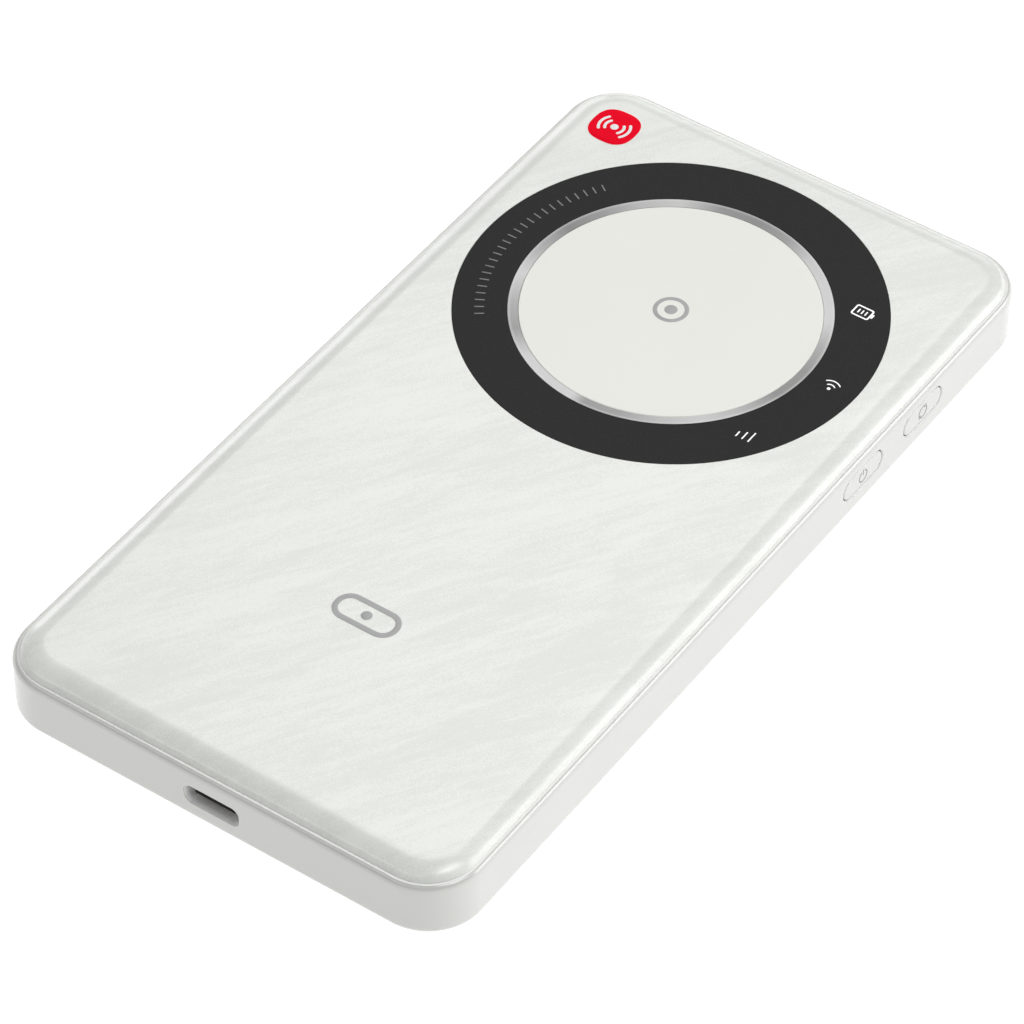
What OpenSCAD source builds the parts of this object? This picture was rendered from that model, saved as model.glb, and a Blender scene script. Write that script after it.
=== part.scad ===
// Pocket mobile hotspot: a flat slab with a soft-edged pearl cover, a black indicator ring
// round a pale touch disc, a USB-C port on one short side and two push buttons on the right.
// Origin at the bottom centre, +Z up through the cover, +Y towards the ring, +X the button side.

/* [Body] */
// Width of the body across X
body_w = 75; // [74:0.5:78]
// Length of the body along Y
body_l = 145.5; // [145:0.5:150]
// Radius of the four upright corners
corner_r = 8.5; // [8:0.1:9]
// Thickness of the housing side walls
wall_t = 2; // [2:0.1:2.2]
// Thickness of the housing floor
floor_t = 1.2; // [1:0.1:1.2]
// Radius of the rounding under the housing
foot_r = 1.2; // [0.8:0.1:1.4]

/* [Cover] */
// Height of the housing rim beside the seam
rim_z = 9.15; // [9.1:0.05:9.3]
// Width of the rim from the wall face to the seam
rim_w = 1; // [0.9:0.05:1.1]
// Width of the seam between the rim and the cover
seam_gap = 0.1; // [0.05:0.05:0.2]
// Height of the flat face of the cover
face_z = 10.86; // [10.8:0.02:11]
// Thickness of the cover
cover_t = 1.15; // [1:0.05:1.2]

/* [Ring] */
// Distance of the ring centre from the body centre along Y
ring_y = 35.1; // [34:0.1:36]
// Outer radius of the black ring lens
lens_or = 31.1; // [31:0.1:31.5]
// Outer radius of the metal trim ring
trim_or = 23.2; // [23:0.1:23.4]
// Inner radius of the metal trim ring
trim_ir = 21.7; // [21.5:0.1:22]

/* [Ports and buttons] */
// Width of the USB-C opening
usb_w = 9.1; // [9.1:0.05:9.4]
// Height of the USB-C opening
usb_h = 3.35; // [3.35:0.05:3.5]
// Height of the USB-C centre above the base
usb_z = 4.6; // [4.5:0.05:4.7]
// Place of the power button along Y
power_y = 27.4; // [26:0.1:28]
// Place of the sync button along Y
sync_y = 43; // [42:0.1:44]
// Length of a button opening
button_l = 10; // [9.6:0.1:10.4]
// Height of a button opening
button_h = 3.8; // [3.4:0.1:4]
// Height of the button centres above the base
button_z = 5.3; // [5.2:0.05:5.4]
// Place of the SIM tray along Y, on the left side
tray_y = 40; // [39:0.5:41]

/* [Battery] */
// Width of the battery cell
cell_w = 65; // [60:0.5:65]
// Length of the battery cell
cell_l = 71.8; // [68:0.1:71.8]
// Thickness of the battery cell
cell_t = 5.2; // [4:0.1:5.2]

/* [Hidden] */
$fn = 96;
eps = 0.01;

// Straight run between the corners
core_w = body_w - 2 * corner_r;
core_l = body_l - 2 * corner_r;

// Housing profile
rim_r = 1.4;
rim_turn = acos(1 - rim_w / rim_r);
ledge_z = 8.2;
rim_cz = rim_z - rim_r * sin(rim_turn);
inner_x = body_w / 2 - wall_t;

// Cover profile: a small arc at the seam, then a large arc that meets the flat face
cover_edge = corner_r - rim_w - seam_gap;
cover_base = 8.4;
small_r = 1.42;
small_a = 10;
large_r = 5.89;
large_a = 62;
large_cx = cover_edge - small_r * cos(small_a) + (small_r - large_r) * cos(large_a);
large_cz = face_z - large_r;
small_cx = cover_edge - small_r * cos(small_a);
small_cz = large_cz + (large_r - small_r) * sin(large_a);
cover_skirt = 0.95;

// Ring assembly
ring_floor_z = 9.9;
ring_boss_z = 9.1;
ring_boss_r = 32.4;
lens_z = 9.95;
disc_z = 10.76;
icon_r = 27.15;
icon_a = 33.7;
print_t = 0.04;
icon_t = 0.3;
disc_mark_t = 0.2;
window_w = 4.6;

// Inner stack
board_z = 2.6;
board_t = 0.8;
part_z = board_z + board_t;
plate_z = 7;
plate_t = 0.8;
plate_top = plate_z + plate_t;
cell_y0 = -59.4;
cell_z = floor_t + 0.2;
frame_screw_spots = [[-26.5, 65], [26.5, 65], [-29.8, 14.9], [29.8, 14.9], [-26.5, -65.4], [26.5, -65.4]];
board_screw_spots = [[-29, 27], [27, 20.5], [0, 65.6], [-19.5, -67], [19.5, -67]];
boss_d = 4.4;
frame_bore_d = 1.4;
board_bore_d = 1.5;
modem_box = [-13, 22, 30, 24];
radio_box = [-13, 48, 30, 14];
shield_h = 2.2;
shield_t = 0.2;

// Buttons
button_fit = 0.1;
button_deep = 2.1;
flange_t = 0.6;
flange_lip = 0.5;
bracket_x = 31.5;
bracket_t = 0.4;
switch_x = bracket_x + bracket_t + 0.15;
switch_d = 1.5;
plunger_d = 1.6;
plunger_x0 = 33.1;
plunger_x1 = 34.45;

// SIM tray
tray_z0 = 3.7;
tray_t = 0.9;
tray_w = 11.2;
tray_z = tray_z0 + tray_t / 2;
face_l = 13.4;
face_h = 2.9;
face_t = 1;
card_l = 12.3;
card_w = 8.8;
card_t = 0.67;
tray_in = -20;

// USB receptacle
shell_w = 8.94;
shell_h = 3.26;
shell_t = 0.3;
shell_len = 7.35;
shell_y = -body_l / 2 + 0.35;
tongue_w = 6.69;
tongue_t = 0.7;
tongue_in = 0.55;

// Coaxial leads: run beside the cell, and the rows where they turn in to their plugs
coax_d = 0.8;
coax_bend = 2;
coax_z = 3.9;
coax_x = [-34.3, -33.1];
coax_low_y = [-62.7, -61.3];
coax_high_y = [22, 20.3];
coax_low_x = [-20.5, -17];
coax_high_x = [-28.5, -24.5];

// Points along an arc
function arc(cx, cy, r, a0, a1, n) =
  [for (i = [0:n]) [cx + r * cos(a0 + (a1 - a0) * i / n), cy + r * sin(a0 + (a1 - a0) * i / n)]];

// Rectangle with round corners, centred
module rounded_rect(w, l, r) {
  square([w - 2 * r, l], center = true);
  square([w, l - 2 * r], center = true);
  for (x = [-1, 1], y = [-1, 1]) translate([x * (w / 2 - r), y * (l / 2 - r)]) circle(r = r);
}

// Rounded rectangle plate, centred, from z0 up
module plate(w, l, r, z0, t) {
  translate([0, 0, z0]) linear_extrude(height = t) rounded_rect(w, l, r);
}

// Plate with the outline of the body set in by an even margin
module inset_plate(inset, z0, t) {
  plate(body_w - 2 * inset, body_l - 2 * inset, corner_r - inset, z0, t);
}

// Sweeps a profile round the body outline; profile x is measured out from the corner centres
module swept() {
  for (sx = [0, 1], sy = [0, 1]) mirror([sx, 0, 0]) mirror([0, sy, 0])
    translate([core_w / 2, core_l / 2, 0]) rotate_extrude(angle = 90) children();
  for (s = [0, 1]) mirror([s, 0, 0])
    translate([core_w / 2, 0, 0]) rotate([90, 0, 0])
      linear_extrude(height = core_l, center = true) children();
  for (s = [0, 1]) mirror([0, s, 0])
    translate([0, core_l / 2, 0]) rotate([90, 0, 90])
      linear_extrude(height = core_w, center = true) children();
}

// Block inside the corner centres
module core_block(z0, t) {
  translate([-core_w / 2, -core_l / 2, z0]) cube([core_w, core_l, t]);
}

// Pill prism through the right wall, from x0 outwards
module side_pill(y, z, l, h, x0, t) {
  translate([x0, y, z]) rotate([90, 0, 90]) linear_extrude(height = t) {
    square([l - h, h], center = true);
    for (s = [-1, 1]) translate([s * (l - h) / 2, 0]) circle(d = h);
  }
}

// Rounded prism along Y, centred on the USB axis
module usb_prism(w, h, r, y0, t) {
  translate([0, y0 + t, usb_z]) rotate([90, 0, 0]) linear_extrude(height = t) rounded_rect(w, h, r);
}

// Cylinder that stands on z0
module post(x, y, z0, d, h) {
  translate([x, y, z0]) cylinder(d = d, h = h);
}

// ---- Housing ----

module housing_profile() {
  polygon(concat(
    [[0, 0]],
    arc(corner_r - foot_r, foot_r, foot_r, -90, 0, 8),
    arc(corner_r - rim_r, rim_cz, rim_r, 0, rim_turn, 8),
    [[corner_r - rim_w, ledge_z], [corner_r - wall_t, ledge_z], [corner_r - wall_t, floor_t], [0, floor_t]]
  ));
}

module rear_housing() {
  color("whitesmoke") difference() {
    union() {
      swept() housing_profile();
      core_block(0, floor_t);
      for (p = frame_screw_spots) post(p[0], p[1], floor_t / 2, boss_d, plate_z - floor_t / 2);
      for (p = board_screw_spots) post(p[0], p[1], floor_t / 2, 4, board_z - floor_t / 2);
      // Fence at the foot of the battery bay
      translate([-24, cell_y0 - 0.9, floor_t / 2]) cube([48, 0.6, 1.5]);
      // Rib pairs that hold the switch bracket
      for (y = [19.6, 34.8, 50]) {
        translate([bracket_x - 0.7, y - 1, floor_t / 2]) cube([0.6, 2, 4.4]);
        translate([switch_x + 0.1, y - 1, floor_t / 2]) cube([0.6, 2, 4.4]);
      }
    }
    for (p = frame_screw_spots) post(p[0], p[1], 2.4, frame_bore_d, 6);
    for (p = board_screw_spots) post(p[0], p[1], floor_t / 2 + 0.2, board_bore_d, 3);
    for (y = [power_y, sync_y])
      side_pill(y, button_z, button_l, button_h, inner_x - 1, 4);
    usb_prism(usb_w, usb_h, 1.3, -body_l / 2 - 1, wall_t + 2);
    mirror([1, 0, 0]) {
      side_pill(tray_y, tray_z, face_l + 0.2, face_h + 0.2, body_w / 2 - face_t - 0.05, 3);
      side_pill(tray_y, tray_z, tray_w + 1, tray_t + 0.6, inner_x - 1, 3);
    }
  }
}

// ---- Cover and its ring ----

module cover_profile() {
  polygon(concat(
    [[0, cover_base], [cover_edge, cover_base]],
    arc(small_cx, small_cz, small_r, small_a, large_a, 8),
    arc(large_cx, large_cz, large_r, large_a, 90, 8),
    [[0, face_z]]
  ));
}

module cover_hollow_profile() {
  polygon([
    [0, cover_base - 1], [cover_edge - cover_skirt, cover_base - 1], [cover_edge - cover_skirt, 8.9],
    [cover_edge - 2, 9.45], [large_cx, face_z - cover_t], [0, face_z - cover_t]
  ]);
}

module icon_spot(i) {
  translate([0, ring_y, 0]) rotate(i * icon_a) translate([icon_r, 0, 0]) children();
}

module top_cover() {
  color("ghostwhite") difference() {
    union() {
      difference() {
        union() {
          swept() cover_profile();
          core_block(cover_base, face_z - cover_base);
        }
        swept() cover_hollow_profile();
        core_block(cover_base - 1, face_z - cover_t - cover_base + 1);
      }
      post(0, ring_y, ring_boss_z, 2 * ring_boss_r, face_z - cover_t + 0.2 - ring_boss_z);
    }
    post(0, ring_y, ring_floor_z, 2 * lens_or + 0.06, 2);
    for (i = [-1, 0, 1])
      icon_spot(i) translate([-window_w / 2, -window_w / 2, 8]) cube([window_w, window_w, 4]);
  }
}

module cover_gasket() {
  color("dimgray") translate([0, 0, ledge_z]) linear_extrude(height = cover_base - ledge_z) difference() {
    rounded_rect(body_w - 2.4, body_l - 2.4, corner_r - 1.2);
    rounded_rect(body_w - 3.8, body_l - 3.8, corner_r - 1.9);
  }
}

module mid_frame() {
  color("darkgray") difference() {
    inset_plate(2.3, plate_z, plate_t);
    translate([0, -24, 0]) plate(50, 56, 4, plate_z - 1, plate_t + 2);
    for (p = frame_screw_spots) post(p[0], p[1], plate_z - 1, 1.8, 3);
    translate([22.3, ring_y - 2.3, plate_z - 1]) cube([1.5, 4.6, 3]);
    // Slots for the spring contacts of the upper antennas
    for (x = [-20, 20]) translate([x, 62, 0]) plate(6, 3, 1.4, plate_z - 1, plate_t + 2);
    // Notches that clear the flanges of the buttons
    for (y = [power_y, sync_y])
      translate([34.3, y - button_l / 2 - flange_lip - 0.3, plate_z - 1]) cube([2, button_l + 2 * flange_lip + 0.6, 3]);
  }
}

module battery_shape() {
  difference() {
    rounded_rect(2.9, 2.24, 0.35);
    rounded_rect(2.3, 1.64, 0.15);
  }
  for (x = [-0.62, 0, 0.62]) translate([x, 0]) square([0.3, 0.95], center = true);
  translate([1.6, 0]) square([0.45, 0.9], center = true);
}

module fan_arc(r0, r1) {
  intersection() {
    difference() {
      circle(r = r1);
      circle(r = r0);
    }
    polygon([[0, 0], [3, 3.1], [-3, 3.1]]);
  }
}

module wifi_shape() {
  translate([0, -0.95]) {
    circle(r = 0.33);
    fan_arc(0.85, 1.15);
    fan_arc(1.75, 2.05);
  }
}

module signal_shape() {
  for (i = [0:2]) translate([i - 1.15, -1.1]) square([0.3, 1.2 + 0.5 * i]);
}

// An icon stands upright on the face, whatever its place on the ring
module icon_solid(i, z0, t) {
  translate([icon_r * cos(i * icon_a), ring_y + icon_r * sin(i * icon_a), z0])
    linear_extrude(height = t) children();
}

module lens_ring() {
  color([0.2, 0.2, 0.2]) difference() {
    post(0, ring_y, lens_z, 2 * lens_or, face_z - lens_z);
    post(0, ring_y, lens_z - 1, 2 * trim_or + 0.04, 3);
    icon_solid(1, face_z - icon_t, 3) battery_shape();
    icon_solid(0, face_z - icon_t, 3) wifi_shape();
    icon_solid(-1, face_z - icon_t, 3) signal_shape();
  }
}

module battery_icon() {
  color("white") icon_solid(1, face_z - icon_t, icon_t) battery_shape();
}

module wifi_icon() {
  color("white") icon_solid(0, face_z - icon_t, icon_t) wifi_shape();
}

module signal_icon() {
  color("white") icon_solid(-1, face_z - icon_t, icon_t) signal_shape();
}

module trim_ring() {
  color("silver") translate([0, ring_y, 0]) rotate_extrude() polygon([
    [trim_ir, ring_floor_z], [trim_or, ring_floor_z], [trim_or, face_z],
    [trim_or - 0.2, face_z], [trim_ir, face_z - 0.12]
  ]);
}

// Sign let into the disc, flush with its face
module disc_sign(t) {
  translate([0, ring_y, disc_z - disc_mark_t]) linear_extrude(height = t) {
    difference() {
      circle(r = 2.6);
      circle(r = 1.95);
    }
    circle(r = 0.95);
  }
}

module centre_disc() {
  color("linen") difference() {
    translate([0, ring_y, 0]) rotate_extrude() polygon(concat(
      [[0, ring_floor_z], [trim_ir - 0.03, ring_floor_z]],
      arc(trim_ir - 0.18, disc_z - 0.15, 0.15, 0, 90, 4),
      [[0, disc_z]]
    ));
    disc_sign(1);
  }
}

module disc_mark() {
  color("darkgray") disc_sign(disc_mark_t);
}

// Printed marks: plain geometric signs, each a thin layer of ink on its surface
badge_spot = [-28.5, 62.65];

module wave_arc(r0, r1) {
  intersection() {
    difference() {
      circle(r = r1);
      circle(r = r0);
    }
    polygon([[0, 0], [4, 3.4], [4, -3.4]]);
  }
}

module badge_sign() {
  circle(r = 0.62);
  for (s = [0, 1]) mirror([s, 0]) {
    wave_arc(1.2, 1.68);
    wave_arc(2.14, 2.62);
  }
}

module badge_tile() {
  color("crimson") translate([badge_spot[0], badge_spot[1], face_z]) linear_extrude(height = print_t)
    difference() {
      rounded_rect(7.25, 7.25, 2.9);
      badge_sign();
    }
}

module badge_mark() {
  color("white") translate([badge_spot[0], badge_spot[1], face_z]) linear_extrude(height = print_t)
    badge_sign();
}

module cover_mark() {
  color("darkgray") translate([0, -38, face_z]) linear_extrude(height = print_t) {
    difference() {
      rounded_rect(10.4, 5, 2.4);
      rounded_rect(8.7, 3.3, 1.55);
    }
    circle(r = 0.8);
  }
}

module ring_ticks() {
  color("gray") for (i = [0:24])
    translate([0, ring_y, face_z]) rotate(145 + 3 * i)
      translate([27.2 - 0.7, -0.11, 0]) cube([1.4, 0.22, print_t]);
}

// ---- Indicators and touch coil ----

module light_guide() {
  color("lightcyan") {
    translate([0, ring_y, ring_boss_z - 0.5]) linear_extrude(height = 0.5) difference() {
      intersection() {
        circle(r = icon_r + 2.1);
        polygon([[0, 0], [60, 60 * tan(icon_a + 6)], [60, -60 * tan(icon_a + 6)]]);
      }
      circle(r = icon_r - 2.1);
    }
    for (i = [-1, 0, 1])
      icon_spot(i) translate([-1.9, -1.9, ring_boss_z - 0.2]) cube([3.8, 3.8, 0.95]);
  }
}

module indicator_leds() {
  color("gold") for (i = [-1, 0, 1])
    icon_spot(i) translate([-0.4, -0.8, plate_top + 0.15]) cube([0.8, 1.6, 0.45]);
}

module indicator_flex() {
  color("darkorange") {
    translate([0, ring_y, plate_top]) linear_extrude(height = 0.15) difference() {
      intersection() {
        circle(r = icon_r + 1.6);
        polygon([[0, 0], [60, 60 * tan(icon_a + 5)], [60, -60 * tan(icon_a + 5)]]);
      }
      circle(r = icon_r - 1.6);
    }
    // Tail down through the frame to its socket on the main board
    translate([23, ring_y - 2, part_z + 1]) cube([0.12, 4, plate_top + 0.15 - part_z - 1]);
    translate([23, ring_y - 2, plate_top]) cube([3, 4, 0.15]);
  }
}

module nfc_ferrite() {
  color([0.25, 0.25, 0.27]) post(0, ring_y, ring_boss_z - 0.35, 40, 0.2);
}

module nfc_coil() {
  color("chocolate") translate([0, ring_y, ring_boss_z - 0.15]) linear_extrude(height = 0.15) {
    for (i = [0:4]) difference() {
      circle(r = 19 - 0.9 * i);
      circle(r = 18.5 - 0.9 * i);
    }
    translate([14.9, -0.25]) square([4, 0.5]);
  }
}

// ---- Boards ----

module main_board() {
  color("darkgreen") difference() {
    translate([-1.25, 42.95, 0]) plate(63.5, 51.1, 5, board_z, board_t);
    for (p = [[-26.5, 65], [26.5, 65]]) post(p[0], p[1], board_z - 1, boss_d + 0.6, 3);
    for (p = [[-29, 27], [27, 20.5], [0, 65.6]]) post(p[0], p[1], board_z - 1, 1.7, 3);
  }
}

module board_parts() {
  color("dimgray") {
    // Sockets for the cell, the link flex, the indicator flex and the switch flex
    translate([6, 18.4, part_z]) cube([9, 2.2, 1]);
    translate([-14, 18.4, part_z]) cube([10, 2.2, 0.9]);
    translate([22, ring_y - 3, part_z]) cube([2.2, 6, 1]);
    translate([26.6, 38, part_z]) cube([2, 5, 0.9]);
    // Power inductors and rows of small passives
    for (x = [21, 26]) translate([x - 1.5, 24.5, part_z]) cube([3, 3, 1.4]);
    for (i = [0:5]) translate([19.2 + 1.6 * i, 45.6, part_z]) cube([0.8, 1.6, 0.6]);
    for (i = [0:5]) translate([19.2 + 1.6 * i, 50, part_z]) cube([0.8, 1.6, 0.6]);
    for (i = [0:6]) translate([-29 + 1.6 * i, 51, part_z]) cube([0.8, 1.6, 0.6]);
    for (i = [0:6]) translate([-29 + 1.6 * i, 55, part_z]) cube([1, 1.8, 0.7]);
  }
}

// Open-bottomed can over a part of the board
module shield_can(b) {
  color("silver") difference() {
    translate([b[0], b[1], part_z]) cube([b[2], b[3], shield_h]);
    translate([b[0] + shield_t, b[1] + shield_t, part_z - 1])
      cube([b[2] - 2 * shield_t, b[3] - 2 * shield_t, shield_h + 1 - shield_t]);
    for (i = [1:5]) translate([b[0] + b[2] * i / 6, b[1] + b[3] - 2, part_z + 1]) cylinder(d = 1, h = 3);
  }
}

module modem_shield() {
  shield_can(modem_box);
}

module radio_shield() {
  shield_can(radio_box);
}

module chip(x, y, w, l, h) {
  color([0.16, 0.16, 0.17]) difference() {
    translate([x - w / 2, y - l / 2, part_z]) cube([w, l, h]);
    translate([x - w / 2 + 1, y + l / 2 - 1, part_z + h - 0.08]) cylinder(d = 0.7, h = 1);
  }
}

module modem_chip() {
  chip(-4, 33, 13, 13, 1.1);
}

module memory_chip() {
  chip(10.5, 33, 8.5, 11, 0.9);
}

module radio_chip() {
  chip(2, 54.5, 8, 8, 0.9);
}

module power_chip() {
  chip(25, 29.9, 5, 4, 0.8);
}

module thermal_pads() {
  color("mediumpurple") {
    translate([-9, 26, part_z + shield_h]) cube([20, 16, plate_z - 0.15 - part_z - shield_h]);
    translate([-5, 50, part_z + shield_h]) cube([14, 9, plate_z - 0.15 - part_z - shield_h]);
  }
}

module heat_spreader() {
  color([0.3, 0.3, 0.32]) translate([1, 43, 0]) plate(38, 42, 2, plate_z - 0.15, 0.15);
}

module usb_board() {
  color("darkgreen") difference() {
    translate([0, -65.3, 0]) plate(46, 10.2, 1, board_z, board_t);
    translate([-shell_w / 2 - 0.1, -72, board_z - 1])
      cube([shell_w + 0.2, shell_y + shell_len + 72.1, 3]);
    for (x = [-19.5, 19.5]) post(x, -67, board_z - 1, 1.7, 3);
  }
}

module usb_shell() {
  color("silver") {
    difference() {
      usb_prism(shell_w, shell_h, 1.25, shell_y, shell_len);
      usb_prism(shell_w - 2 * shell_t, shell_h - 2 * shell_t, 1.25 - shell_t, shell_y - 1, shell_len + 0.7);
    }
    // Feet that rest on the board beside the cut-out
    for (s = [0, 1], y = [-69, -66.4]) mirror([s, 0, 0])
      translate([shell_w / 2 - 0.37, y, part_z]) cube([1.67, 1.2, 0.25]);
  }
}

module usb_tongue() {
  color([0.1, 0.1, 0.1]) union() {
    usb_prism(shell_w - 2 * shell_t - 0.02, shell_h - 2 * shell_t - 0.02, 0.94, shell_y + 5.4, 1.6);
    translate([-tongue_w / 2, shell_y + tongue_in, usb_z - tongue_t / 2])
      cube([tongue_w, 5.4 - tongue_in + 0.2, tongue_t]);
  }
}

module usb_contacts() {
  color("gold") for (s = [-1, 1], i = [0:11])
    translate([-2.875 + 0.5 * i, shell_y + tongue_in + 0.6, usb_z + s * (tongue_t / 2 + 0.02) - 0.02])
      cube([0.25, 3.2, 0.04]);
}

// Flat cable over the cell, between the two boards
module link_flex() {
  color("darkorange") translate([-14, 0, 0]) rotate([90, 0, 90]) linear_extrude(height = 10) polygon([
    [-63.2, 4.3], [-61.2, 4.3], [-59.9, 6.66], [13, 6.66], [17.4, 4.3], [20.4, 4.3],
    [20.4, 4.42], [17.5, 4.42], [13.1, 6.78], [-60, 6.78], [-61.3, 4.42], [-63.2, 4.42]
  ]);
  color("dimgray") translate([-14, -63.6, part_z]) cube([10, 2.2, 0.9]);
}

// ---- Battery ----

module battery_cell() {
  color([0.75, 0.77, 0.8]) difference() {
    translate([-cell_w / 2, cell_y0, cell_z]) cube([cell_w, cell_l, cell_t]);
    for (s = [0, 1]) mirror([s, 0, 0]) translate([cell_w / 2, 0, cell_z + cell_t / 2])
      rotate([90, 0, 0]) linear_extrude(height = 200, center = true) difference() {
        translate([-1.4, -cell_t / 2 - 1]) square([3, cell_t + 2]);
        translate([-1.4, 0]) rounded_rect(2.8, cell_t, 1.3);
      }
  }
}

module battery_board() {
  color("goldenrod") translate([-18, cell_y0 + cell_l + 0.2, 2.2]) cube([36, 2.4, 3.2]);
}

module battery_lead() {
  color("firebrick") translate([7, 0, 0]) rotate([90, 0, 90]) linear_extrude(height = 7) polygon([
    [cell_y0 + cell_l + 2.6, 4.5], [cell_y0 + cell_l + 2.6, 4.62], [20.4, 4.62], [20.4, 4.4],
    [17.6, 4.4], [17.6, 4.5]
  ]);
}

module battery_tape() {
  color("palegreen") for (x = [-20, 20])
    translate([x - 6, cell_y0 + 4, floor_t]) cube([12, cell_l - 8, cell_z - floor_t]);
}

// ---- SIM ----

module sim_socket() {
  color("silver") difference() {
    translate([-32.4, tray_y - 6.5, part_z]) cube([15, 13, 1.7]);
    translate([-33.4, tray_y - 5.9, tray_z0 - 0.15]) cube([15.4, 11.8, tray_t + 0.3]);
    // Card detect window and weight relief in the top sheet
    translate([-27, tray_y - 3, part_z + 1]) cube([4, 6, 2]);
  }
}

module sim_tray() {
  color("whitesmoke") mirror([1, 0, 0]) difference() {
    union() {
      side_pill(tray_y, tray_z, face_l, face_h, body_w / 2 - face_t, face_t);
      translate([-tray_in, tray_y - tray_w / 2, tray_z0])
        cube([body_w / 2 - face_t + tray_in + 0.3, tray_w, tray_t]);
    }
    // Pocket for the card over a ledge that keeps it from falling through
    translate([22.1, tray_y - card_w / 2 - 0.05, tray_z0 + 0.2]) cube([card_l + 0.1, card_w + 0.1, 2]);
    translate([22.6, tray_y - card_w / 2 + 0.45, tray_z0 - 1]) cube([card_l - 0.9, card_w - 0.9, 3]);
    // Finger-nail groove along the face
    translate([body_w / 2 - 0.35, tray_y - 3, tray_z + 0.35]) cube([1, 6, 0.5]);
  }
}

module sim_card() {
  color("gold") difference() {
    translate([-22.15 - card_l, tray_y - card_w / 2, tray_z0 + 0.2]) cube([card_l, card_w, card_t]);
    translate([-22.15, tray_y + card_w / 2, 0]) rotate(45) cube([2.3, 2.3, 20], center = true);
  }
}

// ---- Buttons and switches ----

module button_cap(y) {
  color("whitesmoke") {
    side_pill(y, button_z, button_l - 2 * button_fit, button_h - 2 * button_fit, body_w / 2 - button_deep, button_deep);
    side_pill(y, button_z, button_l + 2 * flange_lip, button_h + 2 * flange_lip,
      body_w / 2 - button_deep - flange_t, flange_t + eps);
    translate([34.5, y, button_z]) rotate([0, 90, 0]) cylinder(d = 2, h = 0.6);
  }
}

// Sign printed on a button face, seen from the right with +Z up
module button_print(y) {
  color("darkgray") translate([body_w / 2 - print_t, y, button_z]) rotate([90, 0, 90])
    linear_extrude(height = print_t) children();
}

module power_shape() {
  difference() {
    circle(r = 1.08);
    circle(r = 0.86);
    translate([0, 1]) square([0.8, 1], center = true);
  }
  translate([0, 0.7]) square([0.22, 1], center = true);
}

module sync_shape() {
  difference() {
    circle(r = 1.08);
    circle(r = 0.86);
    for (a = [35, 215]) rotate(a) translate([1, 0]) square([0.6, 0.6], center = true);
  }
  for (a = [48, 228]) rotate(a) polygon([[0.62, 0], [1.32, 0], [0.97, -0.55]]);
}

module button_with_print(y) {
  difference() {
    button_cap(y);
    button_print(y) children();
  }
}

module power_button() {
  button_with_print(power_y) power_shape();
}

module power_symbol() {
  button_print(power_y) power_shape();
}

module sync_button() {
  button_with_print(sync_y) sync_shape();
}

module sync_symbol() {
  button_print(sync_y) sync_shape();
}

module switch_body(y) {
  color([0.2, 0.2, 0.22]) difference() {
    translate([switch_x, y - 2.4, button_z - 1.5]) cube([switch_d, 4.8, 3]);
    translate([switch_x + 0.7, y, button_z]) rotate([0, 90, 0]) cylinder(d = plunger_d + 0.1, h = 2);
  }
}

module plunger(y) {
  color("tan") translate([plunger_x0, y, button_z]) rotate([0, 90, 0])
    cylinder(d = plunger_d, h = plunger_x1 - plunger_x0);
}

module power_switch() {
  switch_body(power_y);
}

module sync_switch() {
  switch_body(sync_y);
}

module power_plunger() {
  plunger(power_y);
}

module sync_plunger() {
  plunger(sync_y);
}

module switch_bracket() {
  color("silver") difference() {
    translate([bracket_x, 18, floor_t + 0.2]) cube([bracket_t, 33.6, 4.9]);
    for (y = [power_y + 5, sync_y - 5.4])
      translate([bracket_x - 1, y, button_z]) rotate([0, 90, 0]) cylinder(d = 1.2, h = 3);
  }
}

module switch_flex() {
  color("darkorange") {
    translate([bracket_x + bracket_t, power_y - 3.4, 2.6]) cube([0.15, sync_y - power_y + 6.8, 3.8]);
    translate([bracket_x + bracket_t, 38.2, 6.3]) cube([0.15, 4.6, 0.3]);
    translate([27.5, 38.2, 6.48]) cube([bracket_x + bracket_t + 0.15 - 27.5, 4.6, 0.12]);
    translate([27.5, 38.2, part_z + 0.9]) cube([0.12, 4.6, 6.6 - part_z - 0.9]);
  }
}

// ---- Antennas, leads and screws ----

// L-shaped strip in one corner of the frame, cut back from the sides by its reach
module corner_antenna(sx, sy, reach_x, reach_y) {
  color("darkgoldenrod") mirror([sx, 0, 0]) mirror([0, sy, 0]) intersection() {
    difference() {
      inset_plate(2.6, plate_top, 0.15);
      inset_plate(5.2, plate_top - 1, 3);
    }
    translate([body_w / 2 - reach_x, body_l / 2 - reach_y, plate_top - 2]) cube([100, 100, 5]);
  }
}

module antenna_upper_left() {
  corner_antenna(1, 0, 30, 34);
}

module antenna_upper_right() {
  corner_antenna(0, 0, 30, 26);
}

module antenna_lower_left() {
  corner_antenna(1, 1, 27, 30);
}

module antenna_lower_right() {
  corner_antenna(0, 1, 27, 38);
}

module coax_elbow(x, y, turn) {
  translate([x, y, coax_z]) rotate(turn) rotate_extrude(angle = 90) translate([coax_bend, 0]) circle(d = coax_d);
}

module coax_lead(i) {
  x = coax_x[i];
  y0 = coax_low_y[i] + coax_bend;
  y1 = coax_high_y[i] - coax_bend;
  translate([x, y0, coax_z]) rotate([-90, 0, 0]) cylinder(d = coax_d, h = y1 - y0);
  coax_elbow(x + coax_bend, y0, 180);
  coax_elbow(x + coax_bend, y1, 90);
  translate([x + coax_bend, coax_low_y[i], coax_z]) rotate([0, 90, 0])
    cylinder(d = coax_d, h = coax_low_x[i] - 0.95 - x - coax_bend);
  translate([x + coax_bend, coax_high_y[i], coax_z]) rotate([0, 90, 0])
    cylinder(d = coax_d, h = coax_high_x[i] - 0.95 - x - coax_bend);
}

module coax_leads() {
  color([0.15, 0.15, 0.15]) for (i = [0, 1]) coax_lead(i);
}

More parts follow.
